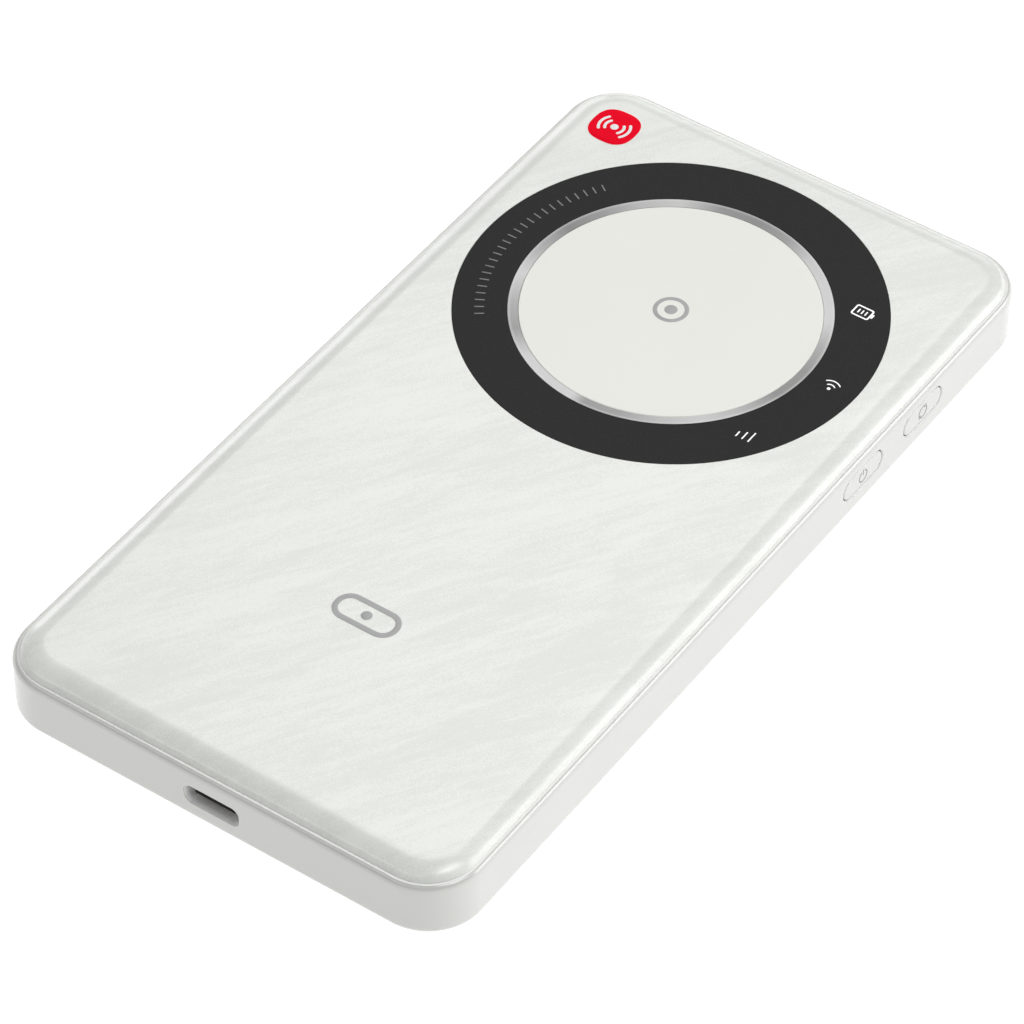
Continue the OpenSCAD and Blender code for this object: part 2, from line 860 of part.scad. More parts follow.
module coax_plugs() {
  color("gold") for (i = [0, 1]) {
    post(coax_low_x[i], coax_low_y[i], part_z, 1.86, 1);
    post(coax_high_x[i], coax_high_y[i], part_z, 1.86, 1);
  }
}

module screw(x, y, seat_z, head_d, head_h, shank_d, shank_l) {
  color("silver") difference() {
    union() {
      post(x, y, seat_z, head_d, head_h);
      post(x, y, seat_z - shank_l, shank_d, shank_l + 0.1);
    }
    translate([x, y, seat_z + head_h - 0.35]) for (a = [0, 90]) rotate(a) cube([1.6, 0.35, 0.8], center = true);
  }
}

module frame_screws() {
  for (p = frame_screw_spots) screw(p[0], p[1], plate_top, 2.8, 0.6, frame_bore_d - 0.04, 4);
}

module board_screws() {
  for (p = board_screw_spots) screw(p[0], p[1], part_z, 2.8, 0.6, board_bore_d - 0.04, 2.2);
}

rear_housing();
top_cover();
cover_gasket();
mid_frame();
lens_ring();
trim_ring();
centre_disc();
badge_tile();
badge_mark();
disc_mark();
cover_mark();
ring_ticks();
battery_icon();
wifi_icon();
signal_icon();
light_guide();
indicator_leds();
indicator_flex();
nfc_coil();
nfc_ferrite();
main_board();
board_parts();
modem_shield();
radio_shield();
modem_chip();
memory_chip();
radio_chip();
power_chip();
thermal_pads();
heat_spreader();
usb_board();
usb_shell();
usb_tongue();
usb_contacts();
link_flex();
battery_cell();
battery_board();
battery_lead();
battery_tape();
sim_socket();
power_switch();
sync_switch();
switch_flex();
switch_bracket();
antenna_upper_left();
antenna_upper_right();
antenna_lower_left();
antenna_lower_right();
coax_leads();
coax_plugs();
frame_screws();
board_screws();
power_button();
power_symbol();
power_plunger();
sync_button();
sync_symbol();
sync_plunger();
sim_tray();
sim_card();
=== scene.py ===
"""Visual model of a flat pocket mobile hotspot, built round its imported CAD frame.

Shapes are worked out in millimetres from the CAD boxes and written to the meshes in metres.
"""

import math

import bmesh
import bpy
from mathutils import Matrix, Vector


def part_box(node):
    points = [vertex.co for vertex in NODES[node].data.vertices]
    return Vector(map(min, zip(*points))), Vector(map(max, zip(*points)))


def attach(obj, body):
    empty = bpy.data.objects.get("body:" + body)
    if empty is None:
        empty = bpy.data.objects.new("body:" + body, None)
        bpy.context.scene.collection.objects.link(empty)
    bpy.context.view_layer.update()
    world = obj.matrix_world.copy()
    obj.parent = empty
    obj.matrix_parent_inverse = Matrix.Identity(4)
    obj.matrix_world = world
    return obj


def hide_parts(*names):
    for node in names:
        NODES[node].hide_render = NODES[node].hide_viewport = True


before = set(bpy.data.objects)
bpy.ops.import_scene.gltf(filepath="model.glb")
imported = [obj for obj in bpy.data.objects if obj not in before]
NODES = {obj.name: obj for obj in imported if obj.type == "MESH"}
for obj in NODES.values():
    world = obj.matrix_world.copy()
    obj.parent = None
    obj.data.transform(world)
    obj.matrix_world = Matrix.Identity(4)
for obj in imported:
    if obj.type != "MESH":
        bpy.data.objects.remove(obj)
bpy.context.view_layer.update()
MM = 0.001


def box_mm(node):
    """Lowest and highest corners of a CAD node, in millimetres."""
    low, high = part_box(node)
    return low / MM, high / MM


def centre_of(node):
    low, high = box_mm(node)
    return (low + high) / 2


# ---- Driving dimensions, in millimetres ----

HALF_W, HALF_L, RIM_Z = box_mm("rear_housing")[1]
CORNER_R = 8.5        # upright corners of the body
WALL = 2.0            # side walls
FLOOR = 1.2           # floor of the housing
FOOT_R = 1.2          # round edge along the base
FOOT_FLAT = 0.02      # from that edge to the flat of the base
RIM_R = 1.35          # wide arc from the wall towards the rim
RIM_BEND = 42         # degrees that the wide arc turns
CREST_R = 0.42        # tight arc from there to the crest of the rim
CREST_DROP = 0.02     # from the top of the CAD rim down to the crest
CREST_EASE_IN = 0.012  # tiny slope where the crest meets the seam
CREST_EASE_DOWN = 0.015
RIM_W = 1.0           # from the wall's face to the inside of the rim
LEDGE_Z = 8.2         # ledge that carries the cover
SEAM = 0.1            # between the rim and the edge of the CAD cover
FACE_Z = box_mm("top_cover")[1].z
COVER_BASE = 8.4      # foot of the cover's skirt
COVER_T = 1.15        # from the face to the cover's underside
COVER_EDGE = CORNER_R - RIM_W - SEAM
SMALL_R = 1.42        # lower arc of the cover's soft edge
SMALL_A = 10          # degrees at which the lower arc reaches the edge of the CAD cover
LARGE_R = 5.89        # upper arc of the soft edge, level with the face at its end
LARGE_A = 62          # degrees at which the two arcs meet
LIP_A = 35            # degrees at which the lower arc gives way to a straight lip
RING = centre_of("lens_ring")
LENS_R = box_mm("lens_ring")[1].x
LENS_Z = box_mm("lens_ring")[0].z
LENS_GAP = 0.02       # between the metal ring and the lens
TRIM_R = box_mm("trim_ring")[1].x
TRIM_GAP = 0.03       # between the disc and the metal ring
TRIM_LIP = 0.22       # level lip along the outside of the metal ring
DISC_R = box_mm("centre_disc")[1].x
DISC_Z = box_mm("centre_disc")[1].z
RING_FLOOR = 9.9      # floor of the pocket that holds the ring and the disc
RING_BOSS_Z = 9.1     # underside of the boss below the pocket
RING_BOSS_R = 32.4
BOSS_SINK = 0.2       # how far the boss runs into the cover
ICON_R = 27.15        # from the ring's centre to the icons
ICON_TURN = 33.7      # degrees between icons
ICON_T = 0.3
PRINT = 0.04          # thickness of the printed signs
CORNER_STEPS = 24
ROUND_STEPS = 8
LATHE_STEPS = 256
BORE_STEPS = 24


# ---- Mesh tools ----

def arc(cx, cy, r, start, end, steps):
    """Points on an arc, angles in degrees."""
    turns = [math.radians(start + (end - start) * i / steps) for i in range(steps + 1)]
    return [(cx + r * math.cos(a), cy + r * math.sin(a)) for a in turns]


def turned(points, turn, x=0, y=0):
    """Points turned about the origin by an angle in degrees, then moved."""
    c, s = math.cos(math.radians(turn)), math.sin(math.radians(turn))
    return [(x + u * c - v * s, y + u * s + v * c) for u, v in points]


def rounded_loop(half_u, half_v, r, steps=CORNER_STEPS):
    """Outline of a rounded rectangle, anticlockwise, with the same count for any size."""
    points = []
    for su, sv, start in ((1, 1, 0), (-1, 1, 90), (-1, -1, 180), (1, -1, 270)):
        points += arc(su * (half_u - r), sv * (half_v - r), r, start, start + 90, steps)
    return points


def body_loop(inset, z):
    """Outline of the body set in by an even margin, at a height."""
    points = rounded_loop(HALF_W - inset, HALF_L - inset, CORNER_R - inset)
    return [(x, y, z) for x, y in points]


def make_object(name, verts, faces):
    """Object of a mesh in millimetres, with outward normals."""
    mesh = bpy.data.meshes.new(name)
    bm = bmesh.new()
    made = [bm.verts.new((x * MM, y * MM, z * MM)) for x, y, z in verts]
    for face in faces:
        bm.faces.new([made[i] for i in face])
    bmesh.ops.recalc_face_normals(bm, faces=bm.faces)
    bm.to_mesh(mesh)
    bm.free()
    obj = bpy.data.objects.new(name, mesh)
    bpy.context.scene.collection.objects.link(obj)
    return obj


def skin(name, rings, closed=False):
    """Surface through rings of points: capped at both ends, or closed on itself."""
    count = len(rings[0])
    verts = [p for ring in rings for p in ring]
    faces = []
    last = len(rings) if closed else len(rings) - 1
    for k in range(last):
        a = k * count
        b = ((k + 1) % len(rings)) * count
        for i in range(count):
            j = (i + 1) % count
            faces.append((a + i, a + j, b + j, b + i))
    if not closed:
        faces.append(tuple(range(count)))
        faces.append(tuple(range((len(rings) - 1) * count, len(rings) * count)))
    return make_object(name, verts, faces)


def lathe(name, profile, centre, closed=True):
    """Turned solid about Z through centre; the profile is a list of radius and height."""
    turns = [2 * math.pi * i / LATHE_STEPS for i in range(LATHE_STEPS)]
    rings = [
        [(centre.x + r * math.cos(a), centre.y + r * math.sin(a), z) for a in turns]
        for r, z in profile
    ]
    return skin(name, rings, closed)


def join(name, objects):
    """One object from several separate ones."""
    bm = bmesh.new()
    for obj in objects:
        bm.from_mesh(obj.data)
        bpy.data.objects.remove(obj)
    mesh = bpy.data.meshes.new(name)
    bm.to_mesh(mesh)
    bm.free()
    joined = bpy.data.objects.new(name, mesh)
    bpy.context.scene.collection.objects.link(joined)
    return joined


def settle(obj):
    """Replaces an object's mesh by the result of its modifiers."""
    graph = bpy.context.evaluated_depsgraph_get()
    mesh = bpy.data.meshes.new_from_object(obj.evaluated_get(graph))
    obj.modifiers.clear()
    obj.data = mesh


def combine(obj, other, operation):
    """Exact union or difference with another object, which is used up."""
    modifier = obj.modifiers.new("combine", "BOOLEAN")
    modifier.operation = operation
    modifier.solver = "EXACT"
    modifier.object = other
    settle(obj)
    bpy.data.objects.remove(other)


WELD = 1e-7           # metres
SLIVER = 1e-8
FLAT_WEIGHT = 80      # per cent by which large faces rule the normals


def tidy(obj, sharp=35):
    """Welds, smooths by angle and lets large flats rule the normals."""
    bm = bmesh.new()
    bm.from_mesh(obj.data)
    bmesh.ops.remove_doubles(bm, verts=bm.verts, dist=WELD)
    bmesh.ops.dissolve_degenerate(bm, edges=bm.edges, dist=SLIVER)
    for face in bm.faces:
        face.smooth = True
    for edge in bm.edges:
        edge.smooth = len(edge.link_faces) == 2 and edge.calc_face_angle() < math.radians(sharp)
    bm.to_mesh(obj.data)
    bm.free()
    weighted = obj.modifiers.new("weighted", "WEIGHTED_NORMAL")
    weighted.keep_sharp = True
    weighted.weight = FLAT_WEIGHT
    settle(obj)


def block(name, low, high):
    """Plain block between two corners, for unions and cuts."""
    x0, y0, z0 = low
    x1, y1, z1 = high
    base = [(x0, y0), (x1, y0), (x1, y1), (x0, y1)]
    return skin(name, [[(x, y, z) for x, y in base] for z in (z0, z1)])


def rod(name, x, y, z0, z1, d, steps=48):
    """Upright cylinder, for unions and cuts."""
    points = arc(x, y, d / 2, 0, 360 * (steps - 1) / steps, steps - 1)
    return skin(name, [[(px, py, z) for px, py in points] for z in (z0, z1)])


def side_ring(x, y, z, half_u, half_v, r):
    """Rounded outline in the plane of a long side wall, centred on y and z."""
    return [(x, y + u, z + v) for u, v in rounded_loop(half_u, half_v, r, ROUND_STEPS)]


def end_ring(y, z, half_u, half_v, r):
    """Rounded outline in the plane of a short side wall, centred on z."""
    return [(u, y, z + v) for u, v in rounded_loop(half_u, half_v, r, ROUND_STEPS)]


FLARE_STEPS = 6
FLARE_TURN = 84       # degrees; under 90, so that a cut crosses the wall's face at an angle
FLARE_OUT = 0.97      # growth of a cut outside the wall, as a share of the edge's radius
CUT_OUT = 1.0         # how far a cut starts outside a wall and ends inside it


def flare(r):
    """Depths and growths of a round edge at the mouth of an opening, from outside inwards."""
    rows = [(-CUT_OUT, r * FLARE_OUT)]
    for i in range(FLARE_STEPS + 1):
        a = math.radians(FLARE_TURN * (1 - i / FLARE_STEPS))
        rows.append((r * (1 - math.sin(a)), r * (1 - math.cos(a))))
    return rows


def round_edge(r, turns):
    """Depth and inset of each step round a convex edge, at the given angles in degrees."""
    return [(r * (1 - math.sin(a)), r * (1 - math.cos(a))) for a in (math.radians(turn) for turn in turns)]


def place(obj, node, body, sharp=35):
    """Finishes a piece that stands for a CAD node."""
    tidy(obj, sharp)
    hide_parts(node)
    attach(obj, body)
    return obj


# ---- Housing ----

BUTTON_NODES = ("power_button", "sync_button")
SHELL_LOW, SHELL_HIGH = box_mm("usb_shell")
USB_Z = (SHELL_LOW.z + SHELL_HIGH.z) / 2
USB_W = 9.1           # opening for the port
USB_H = 3.35
USB_R = 1.3
TRAY_LOW, TRAY_HIGH = box_mm("sim_tray")
TRAY_Y = (TRAY_LOW.y + TRAY_HIGH.y) / 2
TRAY_Z = (TRAY_LOW.z + TRAY_HIGH.z) / 2
TRAY_HALF = (TRAY_HIGH.y - TRAY_LOW.y) / 2
TRAY_TALL = (TRAY_HIGH.z - TRAY_LOW.z) / 2
TRAY_GAP = 0.1        # round the tray's face plate
TRAY_SEAT = 1.05      # depth of the seat for the face plate
SLOT_HALF = 6.1       # half sizes and corners of the slot behind the seat
SLOT_TALL = 0.75
SLOT_R = 0.74
BUTTON_HALF = 5.0     # half sizes of the openings for the buttons
BUTTON_TALL = 1.9
BUTTON_FLARE = 0.28   # round edges of the openings
PORT_FLARE = 0.06
TRAY_FLARE = 0.12
WALL_ROW_Z = 4.5      # row of points on the wall between its foot and its rim
STAND_Z = 0.6         # posts, fence and ribs start inside the floor
FRAME_BOSSES = [(-26.5, 65), (26.5, 65), (-29.8, 14.9), (29.8, 14.9), (-26.5, -65.4), (26.5, -65.4)]
BOARD_BOSSES = [(-29, 27), (27, 20.5), (0, 65.6), (-19.5, -67), (19.5, -67)]
# Top and diameter of the posts; lower end, upper end and diameter of their bores
FRAME_POST = (7, 4.4)
FRAME_BORE = (2.4, 8, 1.4)
BOARD_POST = (2.6, 4)
BOARD_BORE = (0.8, 3.6, 1.5)
FENCE_HALF = 24       # fence of the battery bay
FENCE_Y = -60
FENCE_TOP = 2.1
RIB_ROWS = (19.6, 34.8, 50)
RIB_PAIR = (30.8, 32.15)  # the switch bracket stands between two ribs
RIB_T = 0.6           # thickness of the fence and the ribs
RIB_HALF = 1
RIB_TOP = 5


def button_centre(node):
    low, high = box_mm(node)
    return (low.y + high.y) / 2, (low.z + high.z) / 2


def housing_rings():
    """Outline after outline: flat base, foot, wall, rim, ledge, inner wall and floor."""
    rows = [(FOOT_R + FOOT_FLAT, 0)]
    rows += [(FOOT_R - out, FOOT_R - down) for down, out in arc(0, 0, FOOT_R, 0, 90, 10)[1:]]
    rows.append((0, WALL_ROW_Z))
    # Wide arc up from the wall, then a tight one on to the narrow flat crest beside the seam
    bend = math.radians(RIM_BEND)
    crest_z = RIM_Z - CREST_DROP
    rise = RIM_R * math.sin(bend) + CREST_R * (1 - math.sin(bend))
    crest_x = RIM_R * (1 - math.cos(bend)) + CREST_R * math.cos(bend)
    rows += [(RIM_R - x, z) for x, z in arc(0, crest_z - rise, RIM_R, 0, RIM_BEND, 10)]
    rows += [(crest_x - x, z) for x, z in arc(0, crest_z - CREST_R, CREST_R, RIM_BEND, 90, 8)[1:]]
    rows += [(RIM_W - CREST_EASE_IN, crest_z), (RIM_W, crest_z - CREST_EASE_DOWN)]
    rows += [(RIM_W, LEDGE_Z), (WALL, LEDGE_Z), (WALL, FLOOR)]
    return [body_loop(inset, z) for inset, z in rows]


def housing_cutters():
    """Openings of the port, the buttons and the SIM tray, with round edges, and the bores."""
    cutters = []
    for node in BUTTON_NODES:
        y, z = button_centre(node)
        rings = [side_ring(HALF_W - d, y, z, BUTTON_HALF + g, BUTTON_TALL + g, BUTTON_TALL + g)
                 for d, g in flare(BUTTON_FLARE)]
        rings.append(side_ring(HALF_W - WALL - CUT_OUT, y, z, BUTTON_HALF, BUTTON_TALL, BUTTON_TALL))
        cutters.append(skin("button_cut", rings))
    rings = [end_ring(-HALF_L + d, USB_Z, USB_W / 2 + g, USB_H / 2 + g, USB_R + g)
             for d, g in flare(PORT_FLARE)]
    rings.append(end_ring(-HALF_L + WALL + CUT_OUT, USB_Z, USB_W / 2, USB_H / 2, USB_R))
    cutters.append(skin("port_cut", rings))
    half, tall = TRAY_HALF + TRAY_GAP, TRAY_TALL + TRAY_GAP
    seat_x = -HALF_W + TRAY_SEAT
    rings = [side_ring(-HALF_W + d, TRAY_Y, TRAY_Z, half + g, tall + g, tall + g)
             for d, g in flare(TRAY_FLARE)]
    rings.append(side_ring(seat_x, TRAY_Y, TRAY_Z, half, tall, tall))
    rings += [side_ring(x, TRAY_Y, TRAY_Z, SLOT_HALF, SLOT_TALL, SLOT_R)
              for x in (seat_x, -HALF_W + WALL + CUT_OUT)]
    cutters.append(skin("tray_cut", rings))
    cutters += [rod("bore", x, y, *FRAME_BORE, BORE_STEPS) for x, y in FRAME_BOSSES]
    cutters += [rod("bore", x, y, *BOARD_BORE, BORE_STEPS) for x, y in BOARD_BOSSES]
    return join("housing_cutters", cutters)


def housing_inner():
    """Screw posts, the fence of the battery bay and the ribs that hold the switch bracket."""
    parts = [rod("boss", x, y, STAND_Z, *FRAME_POST) for x, y in FRAME_BOSSES]
    parts += [rod("boss", x, y, STAND_Z, *BOARD_POST) for x, y in BOARD_BOSSES]
    fence_low = (-FENCE_HALF, FENCE_Y - RIB_T / 2, STAND_Z)
    parts.append(block("fence", fence_low, (FENCE_HALF, FENCE_Y + RIB_T / 2, FENCE_TOP)))
    for y in RIB_ROWS:
        for x in RIB_PAIR:
            parts.append(block("rib", (x, y - RIB_HALF, STAND_Z), (x + RIB_T, y + RIB_HALF, RIB_TOP)))
    return join("housing_inner", parts)


def build_housing():
    housing = skin("housing_shell", housing_rings())
    combine(housing, housing_inner(), "UNION")
    combine(housing, housing_cutters(), "DIFFERENCE")
    return place(housing, "rear_housing", "root")


# ---- Cover ----

LIP_GAP = 0.006       # between the crest of the rim and the cover's lip
LIP_T = 0.012         # thickness of the lip at its edge
SKIRT_GAP = 0.01      # between the rim and the skirt
SKIRT_T = 0.95
SKIRT_TOP = 8.9       # inside, where the slope to the underside starts
SLOPE_IN = 2.0        # a point on that slope
SLOPE_Z = 9.45
POCKET_GAP = 0.03     # between the lens and its pocket
POCKET_EDGE = 0.06    # soft edge of the pocket
WINDOW_HALF = 2.3     # square openings under the icons
WINDOW_LOW = 8.5
WINDOW_HIGH = 10.4


def cover_rings():
    """Outline after outline: soft edge in two arcs, a straight lip, skirt and inside."""
    turn = math.radians(LARGE_A)
    small_x = COVER_EDGE - SMALL_R * math.cos(math.radians(SMALL_A))
    large_x = small_x - (LARGE_R - SMALL_R) * math.cos(turn)
    large_z = FACE_Z - LARGE_R
    small_z = large_z + (LARGE_R - SMALL_R) * math.sin(turn)
    edge = arc(large_x, large_z, LARGE_R, 90, LARGE_A, 16)
    edge += arc(small_x, small_z, SMALL_R, LARGE_A, LIP_A, 10)[1:]
    rows = [(CORNER_R - x, z) for x, z in edge]
    # From the arc the edge runs straight down to a thin lip that rests on the crest of the rim
    lip_z = RIM_Z - CREST_DROP + LIP_GAP
    inset, z = rows[-1]
    inset -= (z - lip_z - LIP_T) * math.tan(math.radians(LIP_A))
    rows += [(inset, lip_z + LIP_T), (inset + LIP_T / 2, lip_z)]
    rows += [(RIM_W + SKIRT_GAP, z) for z in (lip_z, COVER_BASE)]
    skirt = RIM_W + SEAM
    rows += [(skirt + SKIRT_T, z) for z in (COVER_BASE, SKIRT_TOP)]
    rows += [(skirt + SLOPE_IN, SLOPE_Z), (CORNER_R - large_x, FACE_Z - COVER_T)]
    return [body_loop(inset, z) for inset, z in rows]


def icon_centre(turn):
    a = math.radians(turn)
    return ICON_R * math.cos(a), RING.y + ICON_R * math.sin(a)


def build_cover():
    cover = skin("pearl_cover", cover_rings())
    boss_top = FACE_Z - COVER_T + BOSS_SINK
    combine(cover, rod("boss", 0, RING.y, RING_BOSS_Z, boss_top, 2 * RING_BOSS_R, LATHE_STEPS), "UNION")
    r = LENS_R + POCKET_GAP
    profile = [(r, RING_FLOOR), (r, FACE_Z - POCKET_EDGE), (r + 0.02, FACE_Z - 0.02)]
    profile += [(r + POCKET_EDGE, FACE_Z), (r + POCKET_EDGE, FACE_Z + CUT_OUT)]
    combine(cover, lathe("pocket", profile, RING, closed=False), "DIFFERENCE")
    windows = []
    square = [(-WINDOW_HALF, -WINDOW_HALF), (WINDOW_HALF, -WINDOW_HALF),
              (WINDOW_HALF, WINDOW_HALF), (-WINDOW_HALF, WINDOW_HALF)]
    for turn in (-ICON_TURN, 0, ICON_TURN):
        corners = turned(square, turn, *icon_centre(turn))
        windows.append(skin("window", [[(x, y, z) for x, y in corners] for z in (WINDOW_LOW, WINDOW_HIGH)]))
    combine(cover, join("windows", windows), "DIFFERENCE")
    return place(cover, "top_cover", "root")


# ---- Ring ----

def build_lens():
    """Flat black ring with eased edges."""
    inner = TRIM_R + LENS_GAP
    edge, ease = 0.05, 0.015
    profile = [(inner, LENS_Z), (inner, FACE_Z - edge)]
    profile += [(inner + ease, FACE_Z - ease), (inner + edge, FACE_Z)]
    profile += [(LENS_R - edge, FACE_Z), (LENS_R - ease, FACE_Z - ease)]
    profile += [(LENS_R, FACE_Z - edge), (LENS_R, LENS_Z)]
    return place(lathe("ring_lens", profile, RING), "lens_ring", "root")


def build_trim():
    """Metal ring with a level lip outside and a face that slopes down to the disc."""
    inner = DISC_R + TRIM_GAP
    lip = TRIM_R - TRIM_LIP
    ease = 0.04
    profile = [(inner, RING_FLOOR), (TRIM_R, RING_FLOOR), (TRIM_R, FACE_Z - ease)]
    profile += [(TRIM_R - ease, FACE_Z), (lip, FACE_Z), (lip - 0.05, FACE_Z - 0.02)]
    profile += [(inner + 0.03, FACE_Z - 0.13), (inner, FACE_Z - 0.17)]
    return place(lathe("metal_trim", profile, RING), "trim_ring", "root", sharp=20)


def build_disc():
    """Touch disc with a round edge; small caps close its two faces at the centre."""
    core, edge = 0.5, 0.16
    profile = [(core, RING_FLOOR), (DISC_R, RING_FLOOR)]
    profile += arc(DISC_R - edge, DISC_Z - edge, edge, 0, 90, 6)
    profile += [(core, DISC_Z)]
    return place(lathe("touch_disc", profile, RING, closed=False), "centre_disc", "root")


# ---- Printed signs and light windows ----

def sign(name, outlines, origin, z0, thick, node, body, bevel=0.008):
    """Flat solid from closed outlines in the plane of the face; an outline inside another cuts it."""
    curve = bpy.data.curves.new(name, "CURVE")
    curve.dimensions = "2D"
    curve.fill_mode = "BOTH"
    for outline in outlines:
        spline = curve.splines.new("POLY")
        spline.points.add(len(outline) - 1)
        for point, (x, y) in zip(spline.points, outline):
            point.co = ((origin[0] + x) * MM, (origin[1] + y) * MM, 0, 1)
        spline.use_cyclic_u = True
    curve.extrude = (thick / 2 - bevel) * MM
    curve.bevel_depth = bevel * MM
    curve.bevel_resolution = 1
    curve.offset = -bevel * MM
    flat = bpy.data.objects.new(name, curve)
    bpy.context.scene.collection.objects.link(flat)
    graph = bpy.context.evaluated_depsgraph_get()
    mesh = bpy.data.meshes.new_from_object(flat.evaluated_get(graph))
    bpy.data.objects.remove(flat)
    for vertex in mesh.vertices:
        vertex.co.z += (z0 + thick / 2) * MM
    obj = bpy.data.objects.new(name, mesh)
    bpy.context.scene.collection.objects.link(obj)
    return place(obj, node, body)


STROKE_STEPS = 32
TIP_STEPS = 8
PILL_STEPS = 12
BADGE_STEPS = 96
BADGE_POWER = 2.65    # 2 would be a circle, more is squarer
BADGE_DOT = 0.62
BADGE_WAVES = (1.44, 2.38)
BADGE_STROKE = 0.46
BADGE_SPREAD = 38     # degrees to each side
TICK_COUNT = 25
TICK_START = 145      # degrees
TICK_STEP = 3
TICK_NEAR = 26.5
TICK_FAR = 27.9
TICK_HALF = 0.11
DISC_SIGN_T = 0.2     # thickness of the disc's sign, which stands out of the disc by a hair
DISC_SIGN_OUT = 0.01


def circle(r, cx=0, cy=0, steps=64):
    return arc(cx, cy, r, 0, 360 * (steps - 1) / steps, steps - 1)


def pill(cx, cy, w, h, r):
    return [(cx + u, cy + v) for u, v in rounded_loop(w / 2, h / 2, r, PILL_STEPS)]


def arc_stroke(cx, cy, r, width, start, end):
    """Closed outline of a curved stroke with round ends."""
    half = width / 2
    outer = arc(cx, cy, r + half, start, end, STROKE_STEPS)
    inner = arc(cx, cy, r - half, end, start, STROKE_STEPS)
    a, b = math.radians(end), math.radians(start)
    tip = arc(cx + r * math.cos(a), cy + r * math.sin(a), half, end, end + 180, TIP_STEPS)[1:-1]
    tail = arc(cx + r * math.cos(b), cy + r * math.sin(b), half, start + 180, start + 360, TIP_STEPS)[1:-1]
    return outer + tip + inner + tail


def badge_tile(half):
    """Square with bowed sides and full corners."""
    points = []
    for i in range(BADGE_STEPS):
        a = 2 * math.pi * i / BADGE_STEPS
        c, s = math.cos(a), math.sin(a)
        points.append((half * math.copysign(abs(c) ** (2 / BADGE_POWER), c),
                       half * math.copysign(abs(s) ** (2 / BADGE_POWER), s)))
    return points


def badge_waves():
    """Dot with two waves on each side."""
    waves = [circle(BADGE_DOT)]
    for r in BADGE_WAVES:
        for facing in (0, 180):
            waves.append(arc_stroke(0, 0, r, BADGE_STROKE, facing - BADGE_SPREAD, facing + BADGE_SPREAD))
    return waves


def scale_ticks():
    """Short radial strokes on the ring."""
    stroke = [(TICK_NEAR, -TICK_HALF), (TICK_FAR, -TICK_HALF), (TICK_FAR, TICK_HALF), (TICK_NEAR, TICK_HALF)]
    return [turned(stroke, TICK_START + TICK_STEP * i) for i in range(TICK_COUNT)]


def build_signs():
    """Returns the printed signs by node name."""
    low, high = box_mm("badge_tile")
    badge = centre_of("badge_tile")
    waves = badge_waves()
    tile = [badge_tile((high.x - low.x) / 2)] + waves
    # A ring with a dot on the disc, and a long frame with a dot on the cover
    rings = [circle(2.6), circle(1.95), circle(0.95)]
    pills = [pill(0, 0, 10.4, 5, 2.4), pill(0, 0, 8.7, 3.3, 1.55), circle(0.8)]
    disc_z = DISC_Z + DISC_SIGN_OUT - DISC_SIGN_T
    rows = [
        # node, piece, outlines, centre, lower face, thickness
        ("badge_tile", "red_badge", tile, badge, FACE_Z, PRINT),
        ("badge_mark", "badge_waves", waves, badge, FACE_Z, PRINT),
        ("disc_mark", "disc_sign", rings, RING, disc_z, DISC_SIGN_T),
        ("cover_mark", "cover_sign", pills, centre_of("cover_mark"), FACE_Z, PRINT),
        ("ring_ticks", "ring_scale", scale_ticks(), RING, FACE_Z, PRINT),
    ]
    return {node: sign(piece, outlines, centre, z0, thick, node, "root")
            for node, piece, outlines, centre, z0, thick in rows}


ICON_LIFT = 0.012     # icons stand out of the lens by a hair
FAN_ROOT = (-0.1, -0.78)
BAR_FOOT = -1.05


def build_icons():
    """White light windows in the ring, each upright on the face."""
    # Case, three charge bars and cap; dot and two waves; three bars of growing height
    battery = [pill(0, 0, 2.9, 2.24, 0.38), pill(0, 0, 2.4, 1.74, 0.16)]
    battery += [pill(x, 0, 0.22, 0.85, 0.09) for x in (-0.6, 0, 0.6)]
    battery += [pill(1.63, 0, 0.34, 0.85, 0.13)]
    fan = [circle(0.26, *FAN_ROOT)]
    fan += [arc_stroke(*FAN_ROOT, r, 0.2, 48, 132) for r in (0.87, 1.66)]
    bars = [pill(x, BAR_FOOT + tall / 2, 0.21, tall, 0.08) for x, tall in ((-1, 1.1), (0, 1.6), (1, 2.1))]
    rows = [
        # node, piece, outlines, degrees round the ring
        ("battery_icon", "battery_window", battery, ICON_TURN),
        ("wifi_icon", "wifi_window", fan, 0),
        ("signal_icon", "signal_window", bars, -ICON_TURN),
    ]
    z0 = FACE_Z - ICON_T + ICON_LIFT
    return [sign(piece, outlines, icon_centre(turn), z0, ICON_T, node, "root")
            for node, piece, outlines, turn in rows]


# ---- Buttons ----

BUTTON_FIT = 0.1      # between a cap and its opening
BUTTON_EDGE = 0.3     # round edge of a cap
FLANGE_LIP = 0.5      # how far the flange reaches past the opening
FLANGE_X = 34.8
FLANGE_OUT_X = 35.4
POST_X = 34.5
POST_R = 1
SYMBOL_R = 0.97
SYMBOL_STROKE = 0.21


